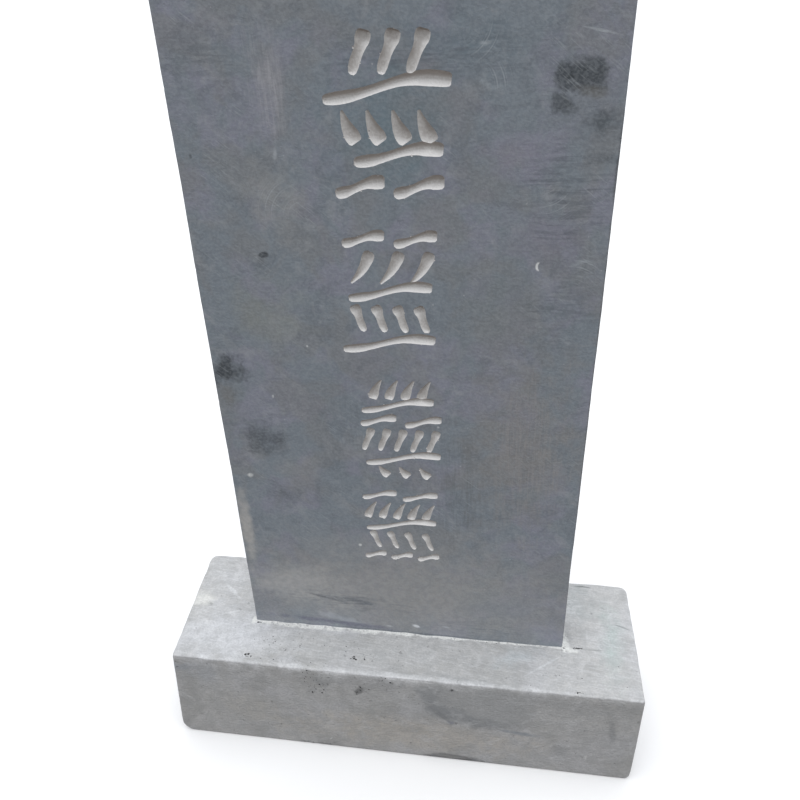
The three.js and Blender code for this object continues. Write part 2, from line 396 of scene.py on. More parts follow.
@dataclass(frozen=True)
class HonedBluestone:
    """Dark blue-grey limestone, sawn and rubbed down by hand: cloudy, with faint saw lines."""

    base: str = "#838c94"
    saw_pitch: float = 0.0034
    swirl_radius: float = 0.03
    swirl_pitch: float = 0.0016
    stains: tuple[Stain, ...] = ()
    swirls: tuple[Stain, ...] = ()
    sawn: tuple[Stain, ...] = ()
    brushed: tuple[Stain, ...] = ()

    def material(self) -> bpy.types.Material:
        """Builds the material."""
        paint = Painter("honed_bluestone", self.base)
        purple = paint.cloud((0.06, 0.06, 0.05), 0.46, 0.6, 4.0, (0.4, 1.0, 0), 0.55, 0.4)
        paint.tint("#9190a0", purple, 0.6)
        neutral = paint.cloud((0.05, 0.05, 0.07), 0.46, 0.6, 4.0, (1.0, 0.3, 0), 0.55, 0.4)
        paint.tint("#858789", neutral, 0.65)
        dark = paint.cloud((0.03, 0.03, 0.026), 0.5, 0.66, 5.0, (0.7, 0.5, 0), 0.6, 0.8)
        paint.tint("#6c737b", dark, 0.42)
        light = paint.cloud((0.024, 0.024, 0.03), 0.53, 0.7, 5.0, (0.2, 0.9, 0), 0.6, 0.9)
        paint.tint("#a5a8ac", light, 0.4)
        for stain in self.stains:
            paint.stain(stain)
        mottle = paint.cloud((0.009, 0.009, 0.008), 0.38, 0.62, 5.0, roughness=0.68)
        paint.tint("#6e757c", mottle, 0.26)
        grain = paint.cloud((0.0032, 0.0032, 0.0028), 0.4, 0.62, 2.0)
        paint.tint("#a9b0b5", grain, 0.16)
        saw = paint.cloud((0.03, 0.03, self.saw_pitch), 0.46, 0.62, 3.0, (0, 0.02, 0), 0.5, 0.6)
        for patch in self.sawn:
            paint.tint(patch.colour, paint.both(saw, paint.stain_mask(patch)), patch.strength)
        brush = paint.cloud((0.0022, 0.0022, 0.03), 0.44, 0.62, 3.0, (0, 0.03, 0), 0.5, 0.4)
        for patch in self.brushed:
            paint.tint(patch.colour, paint.both(brush, paint.stain_mask(patch)), patch.strength)
        for swirl in self.swirls:
            paint.tint(swirl.colour, self.rubbed(paint, swirl), swirl.strength)
        scratch = paint.cloud((0.0012, 0.02, 0.024), 0.6, 0.7, 1.0, (0, 0.9, 0), 0.5, 0.6)
        patchy = paint.cloud((0.05, 0.05, 0.06), 0.54, 0.64)
        paint.tint("#b4babd", paint.both(scratch, patchy), 0.25)
        flecks = paint.cloud((0.005, 0.005, 0.005), 0.77, 0.8, 1.0)
        paint.tint("#c3c7c9", flecks, 0.4)
        heights = [(mottle, 0.0001), (grain, 0.00006), (dark, -0.0001)]
        return paint.finish(0.66, heights)

    def rubbed(self, paint: Painter, swirl: Stain) -> bpy.types.NodeSocket:
        """Makes the fine arcs that a rubbing block leaves, inside a patch.

        Args:
            paint: The painter.
            swirl: The patch. Its turn is the way to the arcs' centre, in degrees.

        Returns:
            The mask.
        """
        way = math.radians(swirl.turn)
        centre = Vector(swirl.at) + Vector((math.cos(way), 0, math.sin(way))) * self.swirl_radius
        reach = add_node(
            paint.tree, "ShaderNodeVectorMath", {0: paint.point, 1: tuple(centre)},
            operation="DISTANCE",
        )
        ring = add_node(paint.tree, "ShaderNodeCombineXYZ", {"X": reach.outputs["Value"]})
        fine = add_node(
            paint.tree,
            "ShaderNodeTexNoise",
            {"Vector": ring.outputs[0], "Scale": 1 / self.swirl_pitch, "Detail": 2.0},
        )
        arcs = add_node(
            paint.tree,
            "ShaderNodeMapRange",
            {"Value": fine.outputs["Fac"], "From Min": 0.52, "From Max": 0.66},
        )
        return paint.both(arcs.outputs["Result"], paint.stain_mask(swirl))


@dataclass(frozen=True)
class FreshCutStone:
    """The same limestone where the chisel crushed it: pale, with painted shade on the facets that
    face down and painted light on those that face up.
    """

    base: str = "#c6c4c1"
    # under is painted shade for the facets that face down; the tone after it is painted light for
    # those that face up.
    under: str = "#a39c97"
    painted_light: str = "#dfdedc"

    def material(self) -> bpy.types.Material:
        """Builds the material."""
        paint = Painter("fresh_cut_limestone", self.base)
        dust = paint.cloud((0.012, 0.012, 0.012), 0.4, 0.65, 4.0)
        paint.tint("#b3aeaa", dust, 0.45)
        grain = paint.cloud((0.0022, 0.0022, 0.0022), 0.4, 0.64, 2.0)
        paint.tint("#dedddb", grain, 0.35)
        # Painted shade on the facets that face down and painted light on those that face up, set by
        # the facets' normals.
        paint.tint(self.under, paint.along_z(paint.normal, -0.05, -0.6), 0.8)
        paint.tint(self.painted_light, paint.along_z(paint.normal, 0.1, 0.5), 0.8)
        return paint.finish(0.9, [(grain, 0.00015), (dust, 0.0001)])


@dataclass(frozen=True)
class GreySawnStone:
    """Light grey limestone, sawn and brushed along its length, weathered at the arrises."""

    base: str = "#b7b7b6"
    top: float = 0.148
    stains: tuple[Stain, ...] = ()

    def material(self) -> bpy.types.Material:
        """Builds the material."""
        paint = Painter("grey_sawn_limestone", self.base)
        heights = self.layers(paint)
        return paint.finish(0.85, heights)

    def layers(self, paint: Painter) -> list[tuple[Any, float]]:
        """Lays the stone's tones.

        Args:
            paint: A painter that starts from this stone's base tone.

        Returns:
            The masks that raise or sink the surface, with their heights.
        """
        level = paint.along_z(paint.point, self.top - 0.004, self.top - 0.001)
        paint.tint("#bcbdc0", paint.cloud((0.09, 0.09, 0.09), 0.44, 0.6), 0.5)
        soft = paint.cloud((0.045, 0.045, 0.045), 0.47, 0.64, 4.0, (0.4, 1, 0), 0.55, 0.6)
        paint.tint("#a2a2a0", soft, 0.6)
        for stain in self.stains:
            paint.stain(stain)
        pale = paint.cloud((0.024, 0.024, 0.018), 0.53, 0.7, 5.0, (0, 0.3, 1.1), 0.6, 0.9)
        paint.tint("#cccdce", pale, 0.4)
        mottle = paint.cloud((0.011, 0.011, 0.010), 0.38, 0.62, 5.0, roughness=0.68)
        paint.tint("#97999a", mottle, 0.34)
        brush = paint.cloud((0.022, 0.0022, 0.01), 0.46, 0.66, 3.0, (0, 0, 0.12), 0.5, 1.2)
        paint.tint("#d8dadc", paint.both(brush, level), 0.28)
        grain = paint.cloud((0.0026, 0.0026, 0.0026), 0.4, 0.62, 2.0)
        paint.tint("#8a8b8c", grain, 0.2)
        pits = paint.cloud((0.006, 0.006, 0.006), 0.7, 0.76, 2.0)
        paint.tint("#6f7070", pits, 0.4)
        return [(mottle, 0.00022), (grain, 0.00014), (pale, 0.0001), (pits, -0.0004)]


@dataclass(frozen=True)
class PitDirtAndShade:
    """Dark soil caught in small holes, made darker still as painted shade for the holes' depth."""

    base: str = "#4b4c4c"

    def material(self) -> bpy.types.Material:
        """Builds the material."""
        paint = Painter("soil_and_shade_in_pits", self.base)
        grain = paint.cloud((0.001, 0.001, 0.001), 0.4, 0.6)
        paint.tint("#6a6a68", grain, 0.5)
        return paint.finish(0.95, [(grain, 0.0002)])


@dataclass(frozen=True)
class LimeMortar:
    """Off-white lime mortar, struck off by hand: sandy, white where thick, grey where thin."""

    white: str = "#dcddda"
    stone: GreySawnStone = GreySawnStone()

    def material(self) -> bpy.types.Material:
        """Builds the material, which fades into the plinth's stone where the mortar is thin."""
        paint = Painter("lime_mortar", self.stone.base)
        heights = self.stone.layers(paint)
        lime = add_node(paint.tree, "ShaderNodeAttribute", attribute_name="lime").outputs["Fac"]
        crumbs = paint.cloud((0.006, 0.006, 0.006), 0.34, 0.5, 4.0, roughness=0.65)
        paint.tint(self.white, paint.both(lime, crumbs), 0.95)
        sand = paint.cloud((0.0018, 0.0018, 0.0018), 0.4, 0.62, 3.0)
        paint.tint("#9fa09e", paint.both(lime, sand), 0.3)
        return paint.finish(0.93, heights + [(sand, 0.00015)])


@dataclass(frozen=True)
class StudioFloor:
    """A seamless pale ground."""

    base: str = "#eeeeee"

    def material(self) -> bpy.types.Material:
        """Builds the material."""
        paint = Painter("pale_ground", self.base)
        haze = paint.cloud((1.5, 1.5, 1.5), 0.4, 0.6)
        paint.tint("#f1f1f0", haze, 0.5)
        return paint.finish(0.9, [(haze, 0.0)])


# ---------------------------------------------------------------------------
# Mesh helpers
# ---------------------------------------------------------------------------


def graded(half: float, ease: list[float], spacing: float) -> list[float]:
    """Divides a length about zero, finely at its ends.

    Args:
        half: Half of the length.
        ease: Distances from each end that get a division of their own.
        spacing: The longest gap in between.

    Returns:
        The divisions from -half to half.
    """
    inner = half - ease[-1]
    steps = max(1, math.ceil(2 * inner / spacing))
    low = [-half + distance for distance in ease]
    middle = [-inner + 2 * inner * step / steps for step in range(1, steps)]
    return low + middle + [-value for value in reversed(low)]


@dataclass(frozen=True)
class EasedBlock:
    """A block whose arrises are eased, each set by a radius of its own.

    corners are the upright ones at the front and at the back, foot the lower ones along the
    length, at the left end and at the right end, and crown all the upper ones.
    """

    half: tuple[float, float, float]
    corners: tuple[float, float]
    foot: tuple[float, float, float]
    crown: float
    spacing: float

    @staticmethod
    def rounded(pair: tuple[float, float], halves: tuple[float, float], radius: float) -> Any:
        """Rounds the square corner that two coordinates share."""
        over = [abs(value) - (half - radius) for value, half in zip(pair, halves)]
        if min(over) <= 0:
            return pair
        share = max(over) / math.hypot(*over)
        return tuple(
            math.copysign(half - radius + beyond * share, value)
            for value, half, beyond in zip(pair, halves, over)
        )

    def eased(self, point: Vector) -> Vector:
        """Moves a point of the sharp block onto the eased one."""
        x, y, z = point
        hx, hy, hz = self.half
        along, left, right = (self.crown,) * 3 if z > 0 else self.foot
        x, z = self.rounded((x, z), (hx, hz), left if x < 0 else right)
        y, z = self.rounded((y, z), (hy, hz), along)
        x, y = self.rounded((x, y), (hx, hy), self.corners[0] if y < 0 else self.corners[1])
        return Vector((x, y, z))

    def near_ends(self) -> list[float]:
        """Lists the distances from a side at which the rounded stretches need divisions."""
        shares = [1 - math.tan(math.radians(angle)) for angle in (45, 30, 15, 0)]
        wanted = sorted(
            radius * share for radius in {*self.corners, *self.foot, self.crown} for share in shares
        )
        kept = [0.0]
        for distance in wanted:
            if distance - kept[-1] > 0.0003:
                kept.append(distance)
        return kept + [kept[-1] + 0.5 * self.spacing]

    def build(self) -> bmesh.types.BMesh:
        """Builds the block about the origin, as one closed surface of small quads.

        Returns:
            A bmesh that the caller frees.
        """
        ends = self.near_ends()
        xs, ys, zs = (graded(half, ends, self.spacing) for half in self.half)
        made = bmesh.new()
        known: dict[tuple[int, int, int], bmesh.types.BMVert] = {}

        def corner_at(i: int, j: int, k: int) -> bmesh.types.BMVert:
            """Gives the vertex at three divisions, made once."""
            if (i, j, k) not in known:
                point = self.eased(Vector((xs[i], ys[j], zs[k])))
                known[i, j, k] = made.verts.new(point)
            return known[i, j, k]

        sides = (len(xs) - 1, len(ys) - 1, len(zs) - 1)
        for axis in range(3):
            first, second = [other for other in range(3) if other != axis]
            for end in (0, sides[axis]):
                for a in range(sides[first]):
                    for b in range(sides[second]):
                        ring = []
                        for da, db in ((0, 0), (1, 0), (1, 1), (0, 1)):
                            place = [0, 0, 0]
                            place[axis] = end
                            place[first] = a + da
                            place[second] = b + db
                            ring.append(corner_at(*place))
                        made.faces.new(ring)
        bmesh.ops.recalc_face_normals(made, faces=made.faces)
        return made


def piece_from(name: str, made: bmesh.types.BMesh, finish: bpy.types.Material) -> bpy.types.Object:
    """Turns a bmesh into a shown object.

    Args:
        name: The piece's name.
        made: Its shape, which is freed.
        finish: Its material.

    Returns:
        The object, at the origin.
    """
    mesh = bpy.data.meshes.new(name)
    made.to_mesh(mesh)
    made.free()
    mesh.materials.append(finish)
    piece = bpy.data.objects.new(name, mesh)
    bpy.context.scene.collection.objects.link(piece)
    return piece


def evaluated(piece: bpy.types.Object) -> bpy.types.Mesh:
    """Makes a plain mesh of an object with its modifiers, and takes them off it."""
    graph = bpy.context.evaluated_depsgraph_get()
    mesh = bpy.data.meshes.new_from_object(piece.evaluated_get(graph), depsgraph=graph)
    piece.modifiers.clear()
    return mesh


def carve(piece: bpy.types.Object, cutters: list[bpy.types.Object]) -> None:
    """Cuts closed cutters out of a piece, which takes their materials on the cut faces.

    Args:
        piece: The stone.
        cutters: What is cut away; they are deleted.
    """
    for cutter in cutters:
        cut = piece.modifiers.new(cutter.name, "BOOLEAN")
        cut.operation = "DIFFERENCE"
        cut.solver = "MANIFOLD"
        cut.material_mode = "TRANSFER"
        cut.object = cutter
    bpy.context.view_layer.update()
    piece.data = evaluated(piece)
    for cutter in cutters:
        bpy.data.objects.remove(cutter)


def shade(piece: bpy.types.Object, crease: float) -> None:
    """Smooths a piece's shading, except over edges sharper than crease degrees."""
    piece.data.shade_smooth()
    piece.data.set_sharp_from_angle(angle=math.radians(crease))


def dress(piece: bpy.types.Object, node: str) -> None:
    """Lets a finished piece stand for its CAD node.

    Args:
        piece: The finished piece.
        node: The CAD node that it replaces.
    """
    piece.data.name = piece.name
    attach(piece, BODY)
    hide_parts(node)
    LOG.info("%s: %d faces", piece.name, len(piece.data.polygons))


# ---------------------------------------------------------------------------
# Geometry Nodes trees
# ---------------------------------------------------------------------------


def new_tree(name: str, sockets: list[tuple[str, str]]) -> tuple[bpy.types.NodeTree, Any]:
    """Starts a Geometry Nodes tree.

    Args:
        name: The tree's name.
        sockets: The name and the socket type of each input.

    Returns:
        The tree and its input node.
    """
    tree = bpy.data.node_groups.new(name, "GeometryNodeTree")
    tree.interface.new_socket("Geometry", in_out="OUTPUT", socket_type="NodeSocketGeometry")
    for label, kind in sockets:
        tree.interface.new_socket(label, in_out="INPUT", socket_type="NodeSocket" + kind)
    return tree, tree.nodes.new("NodeGroupInput")


def close_tree(tree: bpy.types.NodeTree, entry: Any, shape: Any) -> bpy.types.NodeTree:
    """Ends a tree in plain geometry with its material.

    Args:
        tree: The tree.
        entry: Its input node, which has a Material socket.
        shape: The geometry's socket.

    Returns:
        The tree.
    """
    real = add_node(tree, "GeometryNodeRealizeInstances", {"Geometry": shape})
    painted = add_node(
        tree,
        "GeometryNodeSetMaterial",
        {"Geometry": real.outputs[0], "Material": entry.outputs["Material"]},
    )
    add_node(tree, "NodeGroupOutput", {0: painted.outputs[0]})
    return tree


def grown_piece(name: str, tree: bpy.types.NodeTree, values: dict[str, Any]) -> bpy.types.Object:
    """Runs a tree once and keeps its result as a plain mesh.

    Args:
        name: The new object's name.
        tree: The tree.
        values: Its inputs by name.

    Returns:
        The object, at the origin.
    """
    piece = bpy.data.objects.new(name, bpy.data.meshes.new(name))
    bpy.context.scene.collection.objects.link(piece)
    modifier = piece.modifiers.new(name, "NODES")
    modifier.node_group = tree
    for item in tree.interface.items_tree:
        if item.in_out == "INPUT" and item.name in values:
            modifier[item.identifier] = values[item.name]
    bpy.context.view_layer.update()
    piece.data = evaluated(piece)
    return piece


def roughened(tree: bpy.types.NodeTree, shape: Any, wear: Any, size: float) -> Any:
    """Shakes a shape's points with noise.

    Args:
        tree: The tree.
        shape: The geometry's socket.
        wear: How far the points move.
        size: The size of the noise's features.

    Returns:
        The geometry's socket.
    """
    texture = add_node(tree, "ShaderNodeTexNoise", {"Scale": 1 / size, "Detail": 2.0})
    centred = add_node(
        tree,
        "ShaderNodeVectorMath",
        {0: texture.outputs["Color"], 1: (0.5, 0.5, 0.5)},
        operation="SUBTRACT",
    )
    twice = maths(tree, "MULTIPLY", wear, 2.0)
    push = scaled_vector(tree, centred.outputs[0], twice)
    moved = add_node(tree, "GeometryNodeSetPosition", {"Geometry": shape, "Offset": push})
    return moved.outputs[0]


def chips_on(
    tree: bpy.types.NodeTree, points: Any, small: Any, large: Any, seed: Any, out: Any = None
) -> Any:
    """Sets a rough little stone chip on each point.

    Args:
        tree: The tree.
        points: The points' socket.
        small: The smallest chip's radius.
        large: The largest chip's radius.
        seed: The seed of their sizes and turns.
        out: How far each chip stands off its point, as a vector of shares of its radius.

    Returns:
        The instances' socket.
    """
    chip = add_node(tree, "GeometryNodeMeshIcoSphere", {"Radius": 1.0, "Subdivisions": 2})
    chance = add_node(
        tree, "FunctionNodeRandomValue", {"Min_001": 0.0, "Max_001": 1.0, "Seed": seed}
    )
    few_large = maths(tree, "POWER", chance.outputs[1], 2.5)
    radius = add_node(
        tree, "ShaderNodeMapRange", {"Value": few_large, "To Min": small, "To Max": large}
    )
    shape = random_vector(tree, (0.7,) * 3, (1.0,) * 3, seed)
    size = scaled_vector(tree, shape, radius.outputs["Result"])
    turn = random_vector(tree, (0.0,) * 3, (FULL_TURN,) * 3, seed)
    if out is not None:
        push = scaled_vector(tree, out, radius.outputs["Result"])
        points = add_node(
            tree, "GeometryNodeSetPosition", {"Geometry": points, "Offset": push}
        ).outputs[0]
    placed = add_node(
        tree,
        "GeometryNodeInstanceOnPoints",
        {
            "Points": points,
            "Instance": chip.outputs["Mesh"],
            "Rotation": turn,
            "Scale": size,
        },
    )
    return placed.outputs[0]


def united(tree: bpy.types.NodeTree, shapes: list[Any]) -> Any:
    """Joins closed shapes and instances into one closed skin."""
    union = add_node(
        tree, "GeometryNodeMeshBoolean", {"Mesh 2": shapes}, operation="UNION", solver="MANIFOLD"
    )
    return union.outputs["Mesh"]


def chip_tree() -> bpy.types.NodeTree:
    """Builds the tree that scatters chips through a box."""
    sockets = [
        ("Low", "Vector"),
        ("High", "Vector"),
        ("Count", "Int"),
        ("Small", "Float"),
        ("Large", "Float"),
        ("Out", "Vector"),
        ("Seed", "Int"),
        ("Material", "Material"),
    ]
    tree, entry = new_tree("scattered_chips", sockets)
    place = random_vector(tree, entry.outputs["Low"], entry.outputs["High"], entry.outputs["Seed"])
    points = add_node(
        tree, "GeometryNodePoints", {"Count": entry.outputs["Count"], "Position": place}
    )
    chips = chips_on(
        tree,
        points.outputs[0],
        entry.outputs["Small"],
        entry.outputs["Large"],
        entry.outputs["Seed"],
        entry.outputs["Out"],
    )
    skin = roughened(tree, united(tree, [chips]), entry.outputs["Small"], CHIP_GRAIN)
    return close_tree(tree, entry, skin)


@dataclass(frozen=True)
class StrokeForm:
    """The shape of one kind of stroke, as shares of its length and of its group's width."""

    heading: float
    swell: tuple[float, ...]
    sway: float
    bow: float


class StrokeKind(Enum):
    """The kinds of stroke that the marks are made of."""

    BAR = StrokeForm(0, (0.4, 1, 0.82, 0.72, 0.78, 1, 1.2, 0.75), -0.024, 0.035)
    POST = StrokeForm(-90, (0.7, 1.2, 0.95, 0.82, 0.85, 0.8, 0.3), 0.015, 0)
    SWEEP = StrokeForm(-90, (0.6, 1.25, 1.1, 0.95, 0.75, 0.5, 0.25), 0, 0.07)
    DROP = StrokeForm(-90, (0.2, 0.55, 0.85, 1.15, 1.3, 0.9), 0, -0.05)


@dataclass(frozen=True)
class StrokeRow:
    """A row of like strokes, placed by shares of its group's space."""

    kind: StrokeKind
    count: int
    first: float
    last: float
    level: float
    length: float
    lean: float


@dataclass(frozen=True)
class MarkGroup:
    """A group of rows that fills one space of the column."""

    middle: float
    height: float
    wide: float
    tall: float
    stroke: float
    rows: tuple[StrokeRow, ...]


BAR, POST, SWEEP, DROP = StrokeKind

MARKS = (
    MarkGroup(0, 0.631, 0.113, 0.140, 0.011, (
        StrokeRow(POST, 3, -0.2, 0.24, 0.38, 0.26, -20),
        StrokeRow(BAR, 1, 0, 0, 0.17, 1, 0),
        StrokeRow(DROP, 4, -0.3, 0.3, -0.04, 0.21, 24),
        StrokeRow(BAR, 1, 0.08, 0.08, -0.22, 0.72, 0),
        StrokeRow(BAR, 2, -0.24, 0.24, -0.42, 0.42, 6),
    )),
    MarkGroup(-0.007, 0.468, 0.100, 0.130, 0.0095, (
        StrokeRow(BAR, 2, -0.2, 0.3, 0.43, 0.42, 4),
        StrokeRow(SWEEP, 3, -0.24, 0.34, 0.22, 0.29, -32),
        StrokeRow(BAR, 1, 0.04, 0.04, 0.02, 0.84, 1),
        StrokeRow(POST, 4, -0.28, 0.36, -0.19, 0.23, 20),
        StrokeRow(BAR, 1, 0.01, 0.01, -0.41, 0.96, 0),
    )),
    MarkGroup(0.003, 0.312, 0.092, 0.126, 0.008, (
        StrokeRow(DROP, 4, -0.26, 0.3, 0.4, 0.2, -24),
        StrokeRow(BAR, 1, -0.03, -0.03, 0.24, 0.86, 2),
        StrokeRow(BAR, 2, -0.26, 0.27, 0.09, 0.44, 5),
        StrokeRow(POST, 5, -0.4, 0.38, -0.1, 0.24, -18),
        StrokeRow(BAR, 1, 0.02, 0.02, -0.3, 0.92, 1),
        StrokeRow(DROP, 3, -0.22, 0.28, -0.43, 0.13, 40),
    )),
    MarkGroup(0, 0.178, 0.089, 0.107, 0.0074, (
        StrokeRow(BAR, 2, -0.27, 0.26, 0.42, 0.46, 4),
        StrokeRow(DROP, 5, -0.38, 0.38, 0.22, 0.24, -26),
        StrokeRow(BAR, 1, 0, 0, 0.02, 0.94, 1),
        StrokeRow(POST, 4, -0.34, 0.36, -0.19, 0.25, 22),
        StrokeRow(BAR, 3, -0.36, 0.36, -0.42, 0.3, 6),
    )),
)

BAR_RISE = 0.13
GROOVE_DEPTH_SHARE = 0.36
STROKE_STEP = 0.0016
LIP_GRAIN = 0.003
LIP_BAND = 0.0006
LIP_CHIP_SIZES = (0.0004, 0.0014)


def stroke_tree(kind: StrokeKind) -> bpy.types.NodeTree:
    """Builds the tree that grows the V-shaped cutters of a row of strokes.

    The row is drawn flat, with its front side up, and then set upright.

    Args:
        kind: The kind of stroke, whose swell the tree holds as a curve.

    Returns:
        The tree.
    """
    form = kind.value
    sockets = [
        ("First", "Vector"),
        ("Step", "Vector"),
        ("Count", "Int"),
        ("Length", "Float"),
        ("Width", "Float"),
        ("Turn", "Vector"),
        ("Front", "Vector"),
        ("Wear", "Float"),
        ("Chips", "Float"),
        ("Seed", "Int"),
        ("Material", "Material"),
    ]
    tree, entry = new_tree("stroke_row_" + kind.name.lower(), sockets)
    length = entry.outputs["Length"]
    half = maths(tree, "MULTIPLY", length, 0.5)
    back = maths(tree, "MULTIPLY", half, -1.0)
    start = add_node(tree, "ShaderNodeCombineXYZ", {"X": back})
    end = add_node(tree, "ShaderNodeCombineXYZ", {"X": half})
    line = add_node(
        tree, "GeometryNodeCurvePrimitiveLine", {"Start": start.outputs[0], "End": end.outputs[0]}
    )
    spine = add_node(
        tree,
        "GeometryNodeResampleCurve",
        {"Curve": line.outputs[0], "Length": STROKE_STEP},
        mode="LENGTH",
    )
    share = add_node(tree, "GeometryNodeSplineParameter").outputs["Factor"]
    once = maths(tree, "MULTIPLY", share, math.pi)
    twice = maths(tree, "MULTIPLY", share, math.tau)
    bend = maths(tree, "SINE", once)
    wave = maths(tree, "SINE", twice)
    bowed = maths(tree, "MULTIPLY", bend, form.bow)
    side = maths(tree, "MULTIPLY_ADD", wave, form.sway, bowed)
    aside = maths(tree, "MULTIPLY", side, length)
    offset = add_node(tree, "ShaderNodeCombineXYZ", {"Y": aside})
    bent = add_node(
        tree, "GeometryNodeSetPosition", {"Geometry": spine.outputs[0], "Offset": offset.outputs[0]}
    )
    swell = add_node(tree, "ShaderNodeFloatCurve", {"Value": share})
    curve = swell.mapping.curves[0]
    swell.mapping.use_clip = False
    last = len(form.swell) - 1
    for index, width in enumerate(form.swell):
        place = (index / last, width)
        if index in (0, last):
            curve.points[0 if index == 0 else -1].location = place
        else:
            curve.points.new(*place)
    swell.mapping.update()
    half_width = maths(tree, "MULTIPLY", entry.outputs["Width"], 0.5)
    scale = maths(tree, "MULTIPLY", swell.outputs[0], half_width)
    groove = groove_profile(tree)
    upright = add_node(tree, "GeometryNodeSetCurveNormal", {"Curve": bent.outputs[0]}, mode="Z_UP")
    cutter = add_node(
        tree,
        "GeometryNodeCurveToMesh",
        {
            "Curve": upright.outputs[0],
            "Profile Curve": groove,
            "Scale": scale,
            "Fill Caps": True,
        },
    )
    places = add_node(
        tree,
        "GeometryNodeMeshLine",
        {
            "Count": entry.outputs["Count"],
            "Start Location": entry.outputs["First"],
            "Offset": entry.outputs["Step"],
        },
    )
    row = add_node(
        tree,
        "GeometryNodeInstanceOnPoints",
        {
            "Points": places.outputs[0],
            "Instance": cutter.outputs[0],
            "Rotation": entry.outputs["Turn"],
        },
    )
    chips = lip_chips(tree, entry, row.outputs[0])
    rough = roughened(tree, united(tree, [row.outputs[0], chips]), entry.outputs["Wear"], LIP_GRAIN)
    stood = add_node(
        tree,
        "GeometryNodeTransform",
        {
            "Geometry": rough,
            "Rotation": Euler((math.pi / 2, 0, 0)),
            "Translation": entry.outputs["Front"],
        },
    )
    return close_tree(tree, entry, stood.outputs[0])


def groove_profile(tree: bpy.types.NodeTree) -> Any:
    """Makes the trough of a groove: a unit half-width at the face, and closed above it."""
    deep = 2 * GROOVE_DEPTH_SHARE
    over = 0.5 * deep
    reach = math.sqrt((deep + over) / deep)
    trough = add_node(
        tree,
        "GeometryNodeCurveQuadraticBezier",
        {
            "Resolution": 12,
            "Start": (reach, -over, 0.0),
            "Middle": (0.0, 2 * deep + over, 0.0),
            "End": (-reach, -over, 0.0),
        },
    )
    closed = add_node(
        tree, "GeometryNodeSetSplineCyclic", {"Geometry": trough.outputs[0], "Cyclic": True}
    )
    return closed.outputs[0]


def lip_chips(tree: bpy.types.NodeTree, entry: Any, row: Any) -> Any:
    """Sets small chips along the lips of the grooves.

    Args:
        tree: The tree.
        entry: Its input node.
        row: The cutters of the row, before they are set upright.

    Returns:
        The chips' socket.
    """
    real = add_node(tree, "GeometryNodeRealizeInstances", {"Geometry": row})
    position = add_node(tree, "GeometryNodeInputPosition")
    height = add_node(tree, "ShaderNodeSeparateXYZ", {0: position.outputs[0]})
    near = add_node(
        tree,
        "FunctionNodeCompare",
        {"A": height.outputs["Z"], "B": 0.0, "Epsilon": LIP_BAND},
        operation="EQUAL",
    )
    points = add_node(
        tree,
        "GeometryNodeDistributePointsOnFaces",
        {
            "Mesh": real.outputs[0],
            "Selection": near.outputs[0],
            "Density": entry.outputs["Chips"],
            "Seed": entry.outputs["Seed"],
        },
    )
    return chips_on(tree, points.outputs["Points"], *LIP_CHIP_SIZES, entry.outputs["Seed"])


# ---------------------------------------------------------------------------
# The stele
# ---------------------------------------------------------------------------


@dataclass
class Chipping:
    """Chips along a straight arris, between two points."""

    start: Vector
    end: Vector
    count: int
    small: float = 0.0005
    large: float = 0.002
    stray: float = 0.0006
    out: tuple[float, float, float] = (0.0, 0.0, 0.0)


